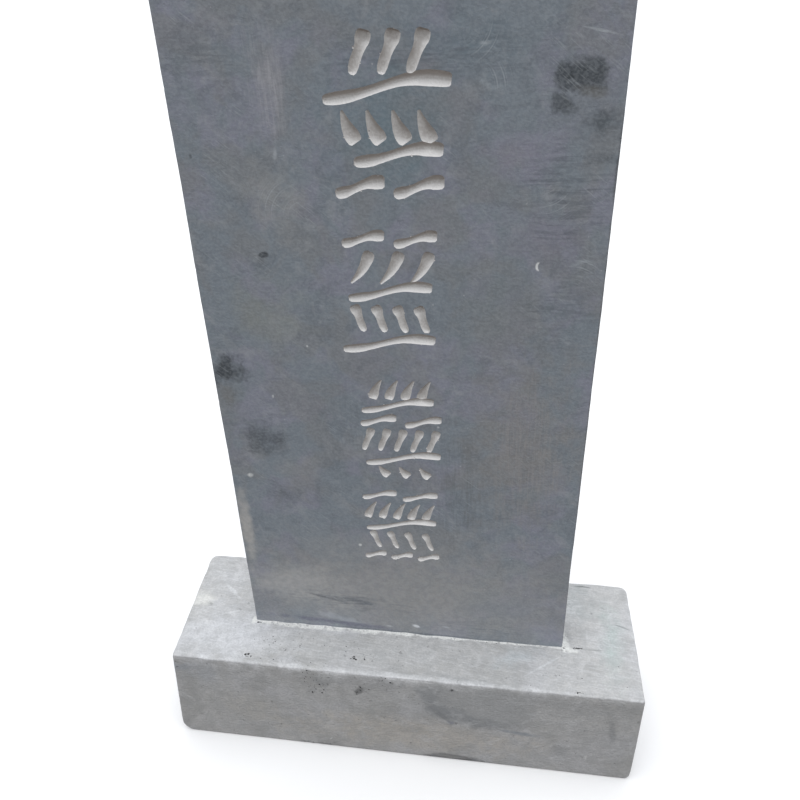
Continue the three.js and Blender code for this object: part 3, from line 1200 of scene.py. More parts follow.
@dataclass
class Tablet:
    """The upright bluestone tablet with its column of marks."""

    corner: float = 0.005
    arris: float = 0.0016
    spacing: float = 0.005
    foot: float = 0.060
    wave: float = 0.0008
    lip_wear: float = 0.00025
    lip_chips: float = 22000.0
    fade: float = 0.03
    low: Vector = field(default_factory=lambda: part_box("tablet")[0])
    high: Vector = field(default_factory=lambda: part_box("tablet")[1])

    @property
    def middle(self) -> float:
        """The centre line, along X."""
        return (self.low.x + self.high.x) / 2

    @property
    def ground(self) -> float:
        """The top of the plinth."""
        return self.low.z + self.foot

    def stains(self) -> tuple[Stain, ...]:
        """Lists the tones that lie on the face, from broad to small, with a painted shade line down
        the right edge.
        """

        def at(x: float, z: float) -> tuple[float, float, float]:
            """Gives a place on the face, from the centre line and the plinth's top."""
            return self.middle + x, self.low.y, self.ground + z

        return (
            Stain(at(0.0, 0.07), (0.3, 0.13), "#a2a19f", 0.82, soft=0.9, ragged=0.25),
            Stain(at(-0.14, 0.075), (0.1, 0.045), "#b8b7b5", 0.75, -8, 1.0, 0.45),
            Stain(at(0.12, 0.06), (0.07, 0.03), "#8a9095", 0.6, 4, 1.0, 0.6),
            Stain(at(-0.105, 0.665), (0.02, 0.05), "#a3a3a8", 0.6, -8, 1.0, 0.7),
            Stain(at(-0.11, 0.56), (0.035, 0.045), "#9c9d9c", 0.65, 10, 1.0, 0.7),
            Stain(at(0.0, 0.62), (0.08, 0.08), "#6d8089", 0.75, 0, 1.0, 0.5),
            Stain(at(0.05, 0.69), (0.1, 0.03), "#717f88", 0.75, 0, 1.0, 0.6),
            Stain(at(0.12, 0.60), (0.05, 0.03), "#928fa0", 0.6, -15, 1.0, 0.7),
            Stain(at(0.14, 0.53), (0.05, 0.04), "#8b8897", 0.6, 0, 1.0, 0.7),
            Stain(at(0.10, 0.47), (0.07, 0.07), "#7f8587", 0.6, 0, 1.0, 0.6),
            Stain(at(-0.13, 0.44), (0.06, 0.05), "#8f9490", 0.6, 0, 1.0, 0.6),
            Stain(at(-0.12, 0.25), (0.035, 0.025), "#9c9d9c", 0.5, 0, 1.0, 0.7),
            Stain(at(0.13, 0.30), (0.08, 0.14), "#8c8a88", 0.7, 0, 1.0, 0.5),
            Stain(at(0.175, 0.645), (0.045, 0.045), "#7d828a", 0.6, 0, 1.0, 0.5),
            Stain(at(0.162, 0.665), (0.028, 0.018), "#41474c", 0.88, 12, 0.6, 0.7),
            Stain(at(0.159, 0.667), (0.012, 0.008), "#33393d", 0.7, 20, 0.8, 0.7),
            Stain(at(0.149, 0.643), (0.013, 0.011), "#4a5054", 0.85, 0, 0.6, 0.7),
            Stain(at(0.172, 0.652), (0.018, 0.006), "#6f6d66", 0.5, -10, 0.8, 0.6),
            Stain(at(0.185, 0.629), (0.022, 0.014), "#4b5257", 0.75, 5, 0.9, 0.7),
            Stain(at(0.189, 0.598), (0.018, 0.008), "#5d646a", 0.6, 0, 0.9, 0.8),
            Stain(at(0.1995, 0.6), (0.0032, 0.075), "#54575c", 0.75, 0, 0.8, 0.7),
            # Painted shade: a thin dark line down the right edge, where the arris turns away from
            # the light.
            Stain(at(0.1995, 0.36), (0.0016, 0.42), "#6b6866", 0.75, 0, 0.8, 0.35),
            Stain(at(-0.1995, 0.36), (0.0014, 0.42), "#7b7c7e", 0.6, 0, 0.8, 0.4),
            Stain(at(-0.186, 0.376), (0.028, 0.022), "#3c4146", 0.92, 20, 0.8, 0.8),
            Stain(at(-0.183, 0.350), (0.016, 0.022), "#77756f", 0.5, 0, 0.9, 0.6),
            Stain(at(-0.152, 0.292), (0.032, 0.030), "#565c62", 0.8, 0, 0.9, 0.8),
            Stain(at(-0.138, 0.216), (0.012, 0.010), "#666c71", 0.55, 0, 0.9, 0.7),
            Stain(at(-0.127, 0.507), (0.0066, 0.0036), "#202428", 0.97, 10, 0.6, 0.4),
            Stain(at(-0.130, 0.500), (0.011, 0.006), "#676d73", 0.6, 50, 0.9, 0.6),
            Stain(at(-0.185, 0.6), (0.0024, 0.0034), "#454b50", 0.8, 0, 0.8, 0.3),
            Stain(at(0.138, 0.501), (0.0036, 0.0052), "#eef0ef", 1.0, 0, 0.35, 0.1, (0.0022, 0)),
            Stain(at(0.178, 0.503), (0.013, 0.006), "#a6adb3", 0.5, 10, 0.6, 0.5, (0.001, -0.003)),
            Stain(at(-0.176, 0.240), (0.005, 0.0042), "#dcdedd", 0.85, 30, 0.6, 0.5),
            Stain(at(-0.136, 0.348), (0.0016, 0.003), "#ced2d4", 0.85, -10, 0.7, 0.4),
            Stain(at(0.044, 0.319), (0.002, 0.0018), "#d6d9da", 0.85, 0, 0.7, 0.4),
            Stain(at(-0.051, 0.146), (0.0024, 0.0022), "#dddfde", 0.9, 0, 0.6, 0.4),
            Stain(at(-0.092, 0.410), (0.0018, 0.0018), "#d6d9da", 0.85, 0, 0.7, 0.3),
            Stain(at(-0.104, 0.602), (0.003, 0.009), "#b9bfc5", 0.6, -12, 0.9, 0.6),
            Stain(at(0.083, 0.690), (0.007, 0.004), "#b4bcc1", 0.65, 0, 0.7, 0.5, (0.0, 0.0028)),
            Stain(at(0.092, 0.664), (0.013, 0.013), "#a3acb2", 0.5, 0, 0.5, 0.6, (0.003, 0.004)),
            Stain(at(0.173, 0.697), (0.024, 0.0014), "#b9bfc3", 0.65, -12, 0.9, 0.4),
            Stain(at(-0.191, 0.160), (0.011, 0.08), "#bab8b4", 0.85, 0, 0.7, 0.35),
            Stain(at(-0.098, 0.053), (0.032, 0.003), "#65686c", 0.75, -13, 0.9, 0.5),
            Stain(at(-0.05, 0.050), (0.05, 0.006), "#767a7e", 0.6, -8, 0.9, 0.8),
            Stain(at(-0.08, 0.018), (0.036, 0.008), "#b4b8bf", 0.65, -12, 0.9, 0.8),
            Stain(at(-0.08, 0.010), (0.11, 0.006), "#6f7080", 0.8, -3, 0.8, 0.7),
            Stain(at(0.0, 0.003), (0.2, 0.003), "#656a72", 0.7, 0, 0.8, 0.6),
            Stain(at(0.016, 0.016), (0.007, 0.0034), "#dcdfe2", 0.9, -20, 0.6, 0.5),
            Stain(at(0.054, 0.019), (0.007, 0.0018), "#c3c7cc", 0.7, -10, 0.8, 0.5),
            Stain(at(-0.02, 0.012), (0.007, 0.0016), "#cdd1d5", 0.7, 0, 0.8, 0.5),
        )

    def sawn(self) -> tuple[Stain, ...]:
        """Lists the patches where the saw's level lines still show."""
        return tuple(
            Stain((self.middle + x, self.low.y, self.ground + z), reach, "#5f666e", strength,
                  turn, 1.0, 0.6)
            for x, z, reach, strength, turn in (
                (0.16, 0.57, (0.06, 0.07), 0.5, 0),
                (0.16, 0.46, (0.06, 0.05), 0.35, 0),
                (0.05, 0.68, (0.16, 0.025), 0.45, 0),
                (-0.16, 0.68, (0.05, 0.03), 0.35, 0),
                (-0.06, 0.05, (0.12, 0.02), 0.5, -5),
                (0.1, 0.02, (0.12, 0.02), 0.35, 0),
            )
        )

    def brushed(self) -> tuple[Stain, ...]:
        """Lists the patches where upright rubbing marks show."""
        return tuple(
            Stain((self.middle + x, self.low.y, self.ground + z), reach, colour, strength,
                  turn, 1.0, 0.6)
            for x, z, reach, colour, strength, turn in (
                (0.14, 0.28, (0.07, 0.16), "#9f9c9b", 0.35, 0),
                (0.07, 0.24, (0.05, 0.12), "#6d7275", 0.4, 0),
                (-0.105, 0.66, (0.03, 0.06), "#b3b3b8", 0.4, 0),
                (-0.05, 0.33, (0.05, 0.1), "#6f757b", 0.3, 0),
            )
        )

    def swirls(self) -> tuple[Stain, ...]:
        """Lists the patches that show the arcs of the rubbing block."""
        places = (
            (0.082, 0.688, 0.022, 140),
            (0.093, 0.664, 0.018, 200),
            (0.180, 0.500, 0.020, 250),
            (-0.11, 0.560, 0.030, -30),
            (0.15, 0.560, 0.022, 120),
        )
        return tuple(
            Stain(
                (self.middle + x, self.low.y, self.ground + z), (size, 0.8 * size), "#b0b7bc",
                0.5, turn, 0.9, 0.5,
            )
            for x, z, size, turn in places
        )

    def cutters(self, chalk: bpy.types.Material) -> list[bpy.types.Object]:
        """Grows the cutters of every row of marks.

        Args:
            chalk: The finish of the cut faces.

        Returns:
            One cutter for each row.
        """
        trees = {kind: stroke_tree(kind) for kind in StrokeKind}
        made = []
        for group in MARKS:
            for row in group.rows:
                form = row.kind.value
                lean = math.radians(form.heading + row.lean)
                is_bar = row.kind is StrokeKind.BAR
                step = (row.last - row.first) * group.wide / max(1, row.count - 1)
                middle = self.middle + group.middle
                first = (
                    middle + row.first * group.wide,
                    self.ground + group.height + row.level * group.tall,
                    0.0,
                )
                values = {
                    "First": first,
                    "Step": (step, 0.0, 0.0),
                    "Count": row.count,
                    "Length": row.length * (group.wide if is_bar else group.tall),
                    "Width": group.stroke,
                    "Turn": (0.0, 0.0, lean + (BAR_RISE if is_bar else 0.0)),
                    "Front": (0.0, self.low.y, 0.0),
                    "Wear": self.lip_wear,
                    "Chips": self.lip_chips,
                    "Seed": len(made),
                    "Material": chalk,
                }
                made.append(grown_piece(f"row_{len(made)}", trees[row.kind], values))
        return made

    def build(self, chips: bpy.types.NodeTree) -> bpy.types.Object:
        """Builds and dresses the tablet.

        Args:
            chips: The tree that scatters chips.

        Returns:
            The finished piece.
        """
        size = self.high - self.low
        block = EasedBlock(
            (size.x / 2, size.z / 2, size.y / 2),
            (self.corner, self.corner),
            (self.arris,) * 3,
            self.arris,
            self.spacing,
        ).build()
        centre = (self.low + self.high) / 2
        upright = Matrix.Translation(centre) @ Matrix.Rotation(math.pi / 2, 4, "X")
        bmesh.ops.transform(block, matrix=upright, verts=block.verts)
        for vertex in block.verts:
            vertex.co += self.edge_wave(vertex.co)
        honed = HonedBluestone(
            stains=self.stains(), swirls=self.swirls(), sawn=self.sawn(), brushed=self.brushed()
        ).material()
        piece = piece_from("bluestone_tablet", block, honed)
        chalk = FreshCutStone().material()
        cutters = self.cutters(chalk)
        for index, line in enumerate(self.arris_chips()):
            cutters.append(chipping(f"arris_{index}", chips, line, index, honed))
        carve(piece, cutters)
        shade(piece, crease=24)
        dress(piece, "tablet")
        return piece

    def edge_wave(self, point: Vector) -> Vector:
        """Bends the upright edges in and out a little, as hand rubbing leaves them."""
        side = math.copysign(1, point.x - self.middle)
        edge = self.high.x - self.middle - abs(point.x - self.middle)
        near = max(0.0, 1 - edge / self.fade)
        wave = noise.noise(Vector((side * 7, 0, point.z * 9))) * self.wave
        nick = noise.noise(Vector((side * 3, point.y * 40, point.z * 70))) * 0.25 * self.wave
        above = min(1.0, max(0.0, (point.z - self.ground) / self.fade))
        return Vector((side * near * above * (wave + nick - 0.4 * self.wave), 0, 0))

    def arris_chips(self) -> list[Chipping]:
        """Lists the chipped arrises."""
        lines = []
        for x in (self.low.x, self.high.x):
            for y in (self.low.y, self.high.y):
                start = Vector((x, y, self.ground))
                end = Vector((x, y, self.high.z))
                lines.append(Chipping(start, end, 70, 0.0004, 0.0018))
        for y in (self.low.y, self.high.y):
            start = Vector((self.low.x, y, self.high.z))
            end = Vector((self.high.x, y, self.high.z))
            lines.append(Chipping(start, end, 40, 0.0004, 0.0018))
        return lines


def chipping(
    name: str, tree: bpy.types.NodeTree, line: Chipping, seed: int, finish: bpy.types.Material
) -> bpy.types.Object:
    """Grows the cutter of one chipped arris.

    Args:
        name: The cutter's name.
        tree: The tree that scatters chips.
        line: The arris.
        seed: The seed of the scatter.
        finish: The finish of the chipped faces.

    Returns:
        The cutter.
    """
    stray = Vector((line.stray, line.stray, line.stray))
    values = {
        "Low": tuple(Vector(map(min, line.start, line.end)) - stray),
        "High": tuple(Vector(map(max, line.start, line.end)) + stray),
        "Count": line.count,
        "Small": line.small,
        "Large": line.large,
        "Out": line.out,
        "Seed": seed,
        "Material": finish,
    }
    return grown_piece(name, tree, values)


@dataclass
class Plinth:
    """The long grey block that the tablet stands in."""

    corners: tuple[float, float] = (0.004, 0.012)
    foot: tuple[float, float, float] = (0.003, 0.024, 0.014)
    crown: float = 0.002
    spacing: float = 0.006
    trim_front: tuple[float, float] = (0.006, 0.018)
    trim_back: tuple[float, float] = (0.0, 0.002)
    reach: float = 0.295
    low: Vector = field(default_factory=lambda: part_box("plinth")[0])
    high: Vector = field(default_factory=lambda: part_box("plinth")[1])

    @property
    def middle(self) -> float:
        """The place along X that the marks on the plinth are measured from."""
        return self.high.x - self.reach

    def stains(self) -> tuple[Stain, ...]:
        """Lists the tones on the front and on the top, with a painted shadow at the foot of the
        front.
        """

        def front(x: float, z: float) -> tuple[float, float, float]:
            """Gives a place on the front."""
            return self.middle + x, self.low.y, z

        def top(x: float, y: float) -> tuple[float, float, float]:
            """Gives a place on the top, with y measured from the front arris."""
            return self.middle + x, self.low.y + y, self.high.z

        on_top = {"face": Face.TOP}
        return (
            Stain(front(0.02, 0.045), (0.22, 0.045), "#bdb8b0", 0.75, soft=0.8, ragged=0.5),
            Stain(front(-0.19, 0.06), (0.08, 0.05), "#b5b3ae", 0.5, soft=1.0, ragged=0.6),
            Stain(front(-0.25, 0.12), (0.05, 0.03), "#a9adb2", 0.6, soft=1.0, ragged=0.6),
            Stain(front(0.24, 0.05), (0.05, 0.06), "#b4b4b4", 0.6, soft=1.0, ragged=0.6),
            Stain(front(0.21, 0.13), (0.1, 0.016), "#9b9c9c", 0.6, soft=1.0, ragged=0.7),
            Stain(front(-0.03, 0.135), (0.08, 0.02), "#9b9c9d", 0.65, soft=1.0, ragged=0.7),
            Stain(front(-0.1, 0.128), (0.024, 0.022), "#97999a", 0.6, soft=1.0, ragged=0.9),
            Stain(front(0.09, 0.115), (0.085, 0.05), "#9fa1a2", 0.7, -6, 0.4, 0.3),
            Stain(front(0.09, 0.125), (0.08, 0.05), "#a9aaaa", 0.5, -6, 0.8, 0.6),
            Stain(front(0.1, 0.115), (0.085, 0.055), "#7d8185", 0.7, -10, 0.4, 0.25,
                  (0.012, 0.013)),
            Stain(front(0.15, 0.068), (0.04, 0.005), "#73808e", 0.55, -4, 0.9, 0.7),
            Stain(front(0.068, 0.074), (0.008, 0.005), "#6f7488", 0.6, -20, 0.9, 0.7),
            Stain(front(0.055, 0.088), (0.022, 0.006), "#7b7e80", 0.6, -50, 0.9, 0.8),
            Stain(front(-0.047, 0.117), (0.005, 0.010), "#636464", 0.75, -30, 0.8, 0.9),
            Stain(front(-0.005, 0.137), (0.004, 0.003), "#5a5b5b", 0.8, 0, 0.7, 0.4),
            Stain(front(0.069, 0.135), (0.004, 0.003), "#505151", 0.85, 0, 0.7, 0.4),
            Stain(front(0.105, 0.11), (0.006, 0.024), "#b9babb", 0.5, 12, 1.0, 0.7),
            Stain(front(-0.09, 0.064), (0.014, 0.016), "#c4c1bb", 0.45, 0, 1.0, 0.8),
            Stain(front(-0.08, 0.052), (0.02, 0.010), "#a29f9a", 0.45, 20, 1.0, 0.8),
            Stain(front(0.02, 0.05), (0.045, 0.008), "#a3a19c", 0.5, 8, 1.0, 0.8),
            # Painted shadow: a dark patch on the bottom edge of the front, where a notch would lie
            # in shade.
            Stain(front(0.074, 0.0), (0.047, 0.014), "#5b5c5e", 0.9, 0, 0.45, 0.4),
            Stain(front(0.07, 0.006), (0.03, 0.004), "#a8a7a4", 0.5, 0, 0.8, 0.7),
            Stain(front(0.205, 0.04), (0.016, 0.028), "#9fa1a3", 0.6, 0, 0.9, 0.6),
            Stain(front(0.264, 0.085), (0.006, 0.035), "#8b8d8f", 0.65, 8, 0.9, 0.7),
            Stain(front(0.27, 0.05), (0.014, 0.04), "#b9babb", 0.5, 0, 1.0, 0.6),
            Stain(front(0.237, 0.035), (0.0035, 0.008), "#dfdfde", 0.75, 0, 0.8, 0.4),
            Stain(front(-0.09, 0.016), (0.0016, 0.005), "#e2e2e0", 0.8, -35, 0.7, 0.4),
            Stain(front(-0.108, 0.002), (0.03, 0.005), "#6b6c6d", 0.75, 0, 0.8, 0.8),
            Stain(front(-0.284, 0.127), (0.02, 0.012), "#9aa0a8", 0.6, 0, 0.9, 0.6),
            Stain(front(0.0, 0.146), (0.3, 0.003), "#dfe0e1", 0.65, 0, 0.9, 0.6, depth=0.003),
            Stain(top(-0.22, 0.04), (0.11, 0.08), "#cfd1d5", 0.65, soft=1.0, ragged=0.6, **on_top),
            Stain(top(-0.26, 0.14), (0.04, 0.05), "#c6c7c9", 0.5, soft=1.0, ragged=0.6, **on_top),
            Stain(top(0.265, 0.09), (0.02, 0.09), "#aab8b4", 0.65, soft=1.0, ragged=0.6, **on_top),
            Stain(top(0.225, 0.15), (0.035, 0.05), "#9fa5a5", 0.65, soft=1.0, ragged=0.6, **on_top),
            Stain(top(0.14, 0.045), (0.05, 0.02), "#b9c2c6", 0.5, 30, 1.0, 0.7, **on_top),
            Stain(top(-0.02, 0.035), (0.14, 0.022), "#b6b7b7", 0.5, soft=1.0, ragged=0.6, **on_top),
            Stain(top(-0.16, 0.035), (0.04, 0.028), "#c9cacb", 0.5, soft=1.0, ragged=0.8, **on_top),
            Stain(top(-0.285, 0.1), (0.02, 0.022), "#dcdcd6", 0.7, 20, 0.6, 0.5, **on_top),
            Stain(top(-0.20, 0.095), (0.03, 0.0022), "#e3e5e7", 0.55, 8, 0.8, 0.8, **on_top),
            Stain(top(-0.235, 0.08), (0.03, 0.0026), "#e0e2e3", 0.5, 24, 0.8, 0.8, **on_top),
            Stain(top(-0.25, 0.12), (0.03, 0.003), "#dddfe0", 0.5, -40, 0.8, 0.8, **on_top),
            Stain(top(0.18, 0.04), (0.05, 0.002), "#d5d8da", 0.5, 38, 0.8, 0.8, **on_top),
            Stain(top(0.28, 0.113), (0.016, 0.0014), "#6f7371", 0.7, -22, 0.7, 0.5, **on_top),
            Stain(top(0.236, 0.181), (0.014, 0.0016), "#6f7371", 0.7, -4, 0.7, 0.6, **on_top),
            Stain(top(0.24, 0.0705), (0.02, 0.0012), "#7d807f", 0.6, 2, 0.8, 0.6, **on_top),
            Stain(top(0.0, 0.002), (0.3, 0.005), "#dadbdc", 0.6, 0, 0.9, 0.9, **on_top),
        )

    def build(self, chips: bpy.types.NodeTree, mortise: "Mortise") -> bpy.types.Object:
        """Builds and dresses the plinth.

        Args:
            chips: The tree that scatters chips.
            mortise: The pocket for the tablet's foot.

        Returns:
            The finished piece.
        """
        size = self.high - self.low
        block = EasedBlock(
            (size.x / 2, size.y / 2, size.z / 2), self.corners, self.foot, self.crown, self.spacing
        ).build()
        centre = (self.low + self.high) / 2
        bmesh.ops.translate(block, vec=centre, verts=block.verts)
        self.weather(block)
        for vertex in block.verts:
            vertex.co = self.trimmed(vertex.co)
        stone = self.finish().material()
        # The pits' finish is dark dirt with painted shade for their depth.
        dirt_and_shade = PitDirtAndShade().material()
        piece = piece_from("grey_stone_plinth", block, stone)
        cutters = [mortise.cutter(stone)]
        for index, line in enumerate(self.arris_chips()):
            cutters.append(
                chipping(f"plinth_arris_{index}", chips, line, PLINTH_ARRIS_SEED + index, stone)
            )
        for index, (start, end, count, large) in enumerate(self.pits()):
            line = Chipping(start, end, count, SMALLEST_PIT, large, 0.0)
            cutters.append(chipping(f"pit_{index}", chips, line, PIT_SEED + index, dirt_and_shade))
        carve(piece, cutters)
        shade(piece, crease=30)
        dress(piece, "plinth")
        return piece

    def finish(self) -> GreySawnStone:
        """Gives the block's finish, which thin mortar shares."""
        return GreySawnStone(top=self.high.z, stains=self.stains())

    def trimmed(self, point: Vector) -> Vector:
        """Sets the left end askew, as it was left rough: short at the top of the front."""
        across = (point.y - self.low.y) / (self.high.y - self.low.y)
        up = (point.z - self.low.z) / (self.high.z - self.low.z)
        front = self.trim_front[0] + (self.trim_front[1] - self.trim_front[0]) * up
        back = self.trim_back[0] + (self.trim_back[1] - self.trim_back[0]) * up
        trim = front + (back - front) * across
        return point + Vector((trim * max(0.0, point.x / self.low.x), 0, 0))

    def weather(self, block: bmesh.types.BMesh) -> None:
        """Gives the sawn faces a slight swell and the arrises their wear."""
        worn, rise = 0.006, 0.01
        block.normal_update()
        for vertex in block.verts:
            point = vertex.co
            swell = noise.noise(point * 14) * 0.0004 + noise.noise(point * 90) * 0.0001
            flat = 0.2 if point.z > self.high.z - self.crown else 1.0
            above = min(1.0, max(0.0, (point.z - self.low.z) / rise))
            inset = min(self.high.x - abs(point.x), self.high.y - abs(point.y))
            edge = max(0.0, 1 - inset / worn) * max(0.0, 1 - (self.high.z - point.z) / worn)
            wear = edge * (0.5 + noise.noise(point * 60)) * 0.0014
            vertex.co = point + vertex.normal * (swell * flat * above - wear)

    def arris_chips(self) -> list[Chipping]:
        """Lists the chipped arrises: nicks, and along the length a few wide shallow scallops."""
        x, y, z = self.high
        lines = []
        for side in (-1, 1):
            start = self.trimmed(Vector((-x + self.corners[0], side * y, z)))
            end = Vector((x - self.corners[0], side * y, z))
            out = (0.0, side * 0.5, 0.5)
            lines.append(Chipping(start, end, 150, 0.0012, 0.0035, 0.0006, out))
            lines.append(Chipping(start, end, 30, 0.003, 0.010, 0.0004, out))
        start, end = Vector((x, -y + self.corners[0], z)), Vector((x, y - self.corners[1], z))
        lines.append(Chipping(start, end, 40, 0.0012, 0.004, 0.0006, (0.5, 0.0, 0.5)))
        start, end = Vector((x, -y, self.foot[2])), Vector((x, -y, z))
        lines.append(Chipping(start, end, 24, 0.0012, 0.005, 0.0006, (0.45, -0.45, 0.0)))
        return lines

    def pits(self) -> list[tuple[Vector, Vector, int, float]]:
        """Lists clusters of pits, as a box, a count and the largest radius."""
        y, z = self.low.y, self.high.z

        def span(
            left: float, right: float, near: float, far: float, count: int, large: float
        ) -> tuple[Vector, Vector, int, float]:
            """Gives a cluster on the top, between two places along it and two across it."""
            low = Vector((self.middle + left, y + near, z))
            return low, Vector((self.middle + right, y + far, z)), count, large

        def stand(
            left: float, right: float, low: float, high: float, count: int, large: float
        ) -> tuple[Vector, Vector, int, float]:
            """Gives a cluster on the front, between two places along it and two heights."""
            foot = Vector((self.middle + left, y, low))
            return foot, Vector((self.middle + right, y, high)), count, large

        return [
            span(-0.060, -0.053, 0.020, 0.025, 12, 0.0022),
            span(-0.046, -0.042, 0.020, 0.029, 6, 0.0014),
            span(-0.196, -0.182, 0.009, 0.014, 9, 0.0018),
            span(-0.148, -0.144, 0.006, 0.009, 3, 0.0014),
            span(-0.20, -0.11, 0.004, 0.050, 34, 0.0010),
            span(-0.11, 0.0, 0.004, 0.050, 16, 0.0009),
            span(0.0, 0.28, 0.004, 0.050, 14, 0.0008),
            span(0.214, 0.230, 0.003, 0.006, 7, 0.0016),
            stand(-0.118, -0.090, 0.104, 0.147, 40, 0.0014),
            stand(-0.052, -0.049, 0.108, 0.114, 7, 0.0018),
            stand(-0.047, -0.044, 0.116, 0.124, 6, 0.0015),
            stand(-0.007, -0.004, 0.135, 0.138, 3, 0.0018),
            stand(0.068, 0.070, 0.134, 0.136, 2, 0.0020),
            stand(-0.09, 0.01, 0.12, 0.147, 22, 0.0010),
            stand(-0.13, -0.09, 0.0, 0.004, 12, 0.0014),
        ]


@dataclass
class Mortise:
    """The pocket in the plinth, and the mortar that fills it round the tablet."""

    step: float = 0.0024
    gap: float = 0.0003
    smear: float = 0.003
    wedge: float = 0.012
    low: Vector = field(default_factory=lambda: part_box("mortar_joint")[0])
    high: Vector = field(default_factory=lambda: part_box("mortar_joint")[1])
    tablet_low: Vector = field(default_factory=lambda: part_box("tablet")[0])
    tablet_high: Vector = field(default_factory=lambda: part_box("tablet")[1])
    top: float = field(default_factory=lambda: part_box("plinth")[1].z)

    def cutter(self, finish: bpy.types.Material) -> bpy.types.Object:
        """Builds the block that the pocket is cut with."""
        made = bmesh.new()
        bmesh.ops.create_cube(made, size=1.0)
        clear = 0.02
        low = self.low - Vector((self.gap, self.gap, self.gap))
        high = Vector((self.high.x + self.gap, self.high.y + self.gap, self.top + clear))
        size = high - low
        place = Matrix.Translation((low + high) / 2) @ Matrix.Diagonal((*size, 1.0))
        bmesh.ops.transform(made, matrix=place, verts=made.verts)
        return piece_from("mortise_cutter", made, finish)

    def around(self, low: Vector, high: Vector) -> list[tuple[float, float]]:
        """Walks anticlockwise round a rectangle, in as many steps as the tablet's plan has."""
        plan = self.tablet_high - self.tablet_low
        counts = [round(side / self.step) for side in (plan.x, plan.y, plan.x, plan.y)]
        corners = [(low.x, low.y), (high.x, low.y), (high.x, high.y), (low.x, high.y)]
        walked = []
        for index, count in enumerate(counts):
            ax, ay = corners[index]
            bx, by = corners[(index + 1) % 4]
            for move in range(count):
                share = move / count
                walked.append((ax + (bx - ax) * share, ay + (by - ay) * share))
        return walked

    def ring(self) -> bmesh.types.BMesh:
        """Shapes the mortar as a closed ring, feathered out over the pocket's rim.

        Returns:
            A bmesh that the caller frees, with its whiteness as a layer.
        """
        overlap = Vector((self.gap, self.gap, 0))
        spill = Vector((self.smear, self.smear, 0))
        inner = self.around(self.tablet_low + overlap, self.tablet_high - overlap)
        outer = self.around(self.low, self.high)
        beyond = self.around(self.low - spill, self.high + spill)
        shares = [0.0, 0.1, 0.2, 0.3, 0.4, 0.5, 0.6, 0.7, 0.8, 0.88, 0.94, 1.0]
        made = bmesh.new()
        lime = made.verts.layers.float.new("lime")
        rings = []
        for (ox, oy), (ix, iy), (bx, by) in zip(outer, inner, beyond):
            spread = 0.55 + 0.6 * noise.noise(Vector((ox * 80, oy * 80, 5.0)))
            tx, ty = ox + (bx - ox) * spread, oy + (by - oy) * spread
            path = [
                (ix, iy, self.low.z, 0.0),
                (ox, oy, self.low.z, 0.0),
                (ox, oy, self.top - 0.0012, 0.0),
                (tx, ty, self.top - 0.0003, 0.0),
            ]
            for share in shares:
                x, y = ox + (ix - ox) * share, oy + (iy - oy) * share
                height, white = self.surface(x, y, math.hypot(ix - x, iy - y))
                path.append((x, y, self.top + height, white))
            ring = []
            for x, y, z, white in path:
                vertex = made.verts.new((x, y, z))
                vertex[lime] = white
                ring.append(vertex)
            rings.append(ring)
        for index, ring in enumerate(rings):
            following = rings[(index + 1) % len(rings)]
            for side in range(len(ring)):
                other = (side + 1) % len(ring)
                made.faces.new((ring[side], following[side], following[other], ring[other]))
        bmesh.ops.recalc_face_normals(made, faces=made.faces)
        return made

    def build(self, chips: bpy.types.NodeTree, stone: GreySawnStone) -> bpy.types.Object:
        """Builds and dresses the mortar.

        Args:
            chips: The tree that scatters chips.
            stone: The finish of the plinth, which shows through thin mortar.

        Returns:
            The finished piece.
        """
        piece = piece_from("lime_mortar_joint", self.ring(), LimeMortar(stone=stone).material())
        # The voids' finish is dark dirt with painted shade for their depth.
        dirt_and_shade = PitDirtAndShade().material()
        cutters = []
        for index, (low, high, count, large) in enumerate(self.voids()):
            line = Chipping(low, high, count, SMALLEST_PIT, large, 0.0)
            cutters.append(chipping(f"void_{index}", chips, line, VOID_SEED + index, dirt_and_shade))
        carve(piece, cutters)
        shade(piece, crease=40)
        dress(piece, "mortar_joint")
        return piece

    def voids(self) -> list[tuple[Vector, Vector, int, float]]:
        """Lists the holes in the mortar, as a box, a count and the largest radius."""
        left, right, front = self.tablet_low.x, self.tablet_high.x, self.tablet_low.y
        holes = (
            (left + 0.002, left + 0.008, -0.0035, -0.002, 5, 0.0016),
            (left + 0.013, left + 0.016, -0.003, -0.0015, 2, 0.0013),
            (left + 0.020, left + 0.06, -0.004, -0.0015, 5, 0.0008),
            (left + 0.1, right - 0.02, -0.004, -0.0015, 12, 0.0007),
            (right + 0.014, right + 0.0255, 0.0012, 0.0024, 26, 0.0013),
            (right + 0.001, right + 0.003, -0.0005, 0.002, 3, 0.0012),
        )
        return [
            (Vector((a, front + near, self.top)), Vector((b, front + far, self.top + 0.0008)),
             count, large)
            for a, b, near, far, count, large in holes
        ]

    def surface(self, x: float, y: float, away: float) -> tuple[float, float]:
        """Shapes the mortar's top.

        Args:
            x: The place along the plinth.
            y: The place across it.
            away: The distance from the tablet.

        Returns:
            The height over the plinth's top, and how white the mortar is, from 0 to 1.
        """
        place = Vector((x * 55, y * 55, 3.0))
        broad = 0.5 + noise.noise(place)
        fine = noise.noise(place * 5)
        bead = max(0.0, 1 - away / (0.005 + 0.003 * noise.noise(place * 2)))
        height = 0.0002 + bead * (0.0006 + 0.0018 * broad) + 0.00022 * fine
        white = 2.0 - away / 0.0044 + 1.6 * noise.noise(place * 1.7) + 0.8 * fine
        right = self.tablet_high.x
        front = self.tablet_low.y
        if x > right + 0.001:
            deep = self.tablet_high.y - 0.012
            width = self.wedge * (deep - y) / (deep - self.low.y)
            white = 0.6 + (width - (x - right)) / 0.003 + 0.8 * fine
            strip = 1.2 - abs(y - front + 0.003) / 0.003 - max(0.0, x - right - 0.018) / 0.004
            white = max(white, strip + 0.6 * fine)
        return height, min(1.0, max(0.0, white))


# ---------------------------------------------------------------------------
# Studio
# ---------------------------------------------------------------------------


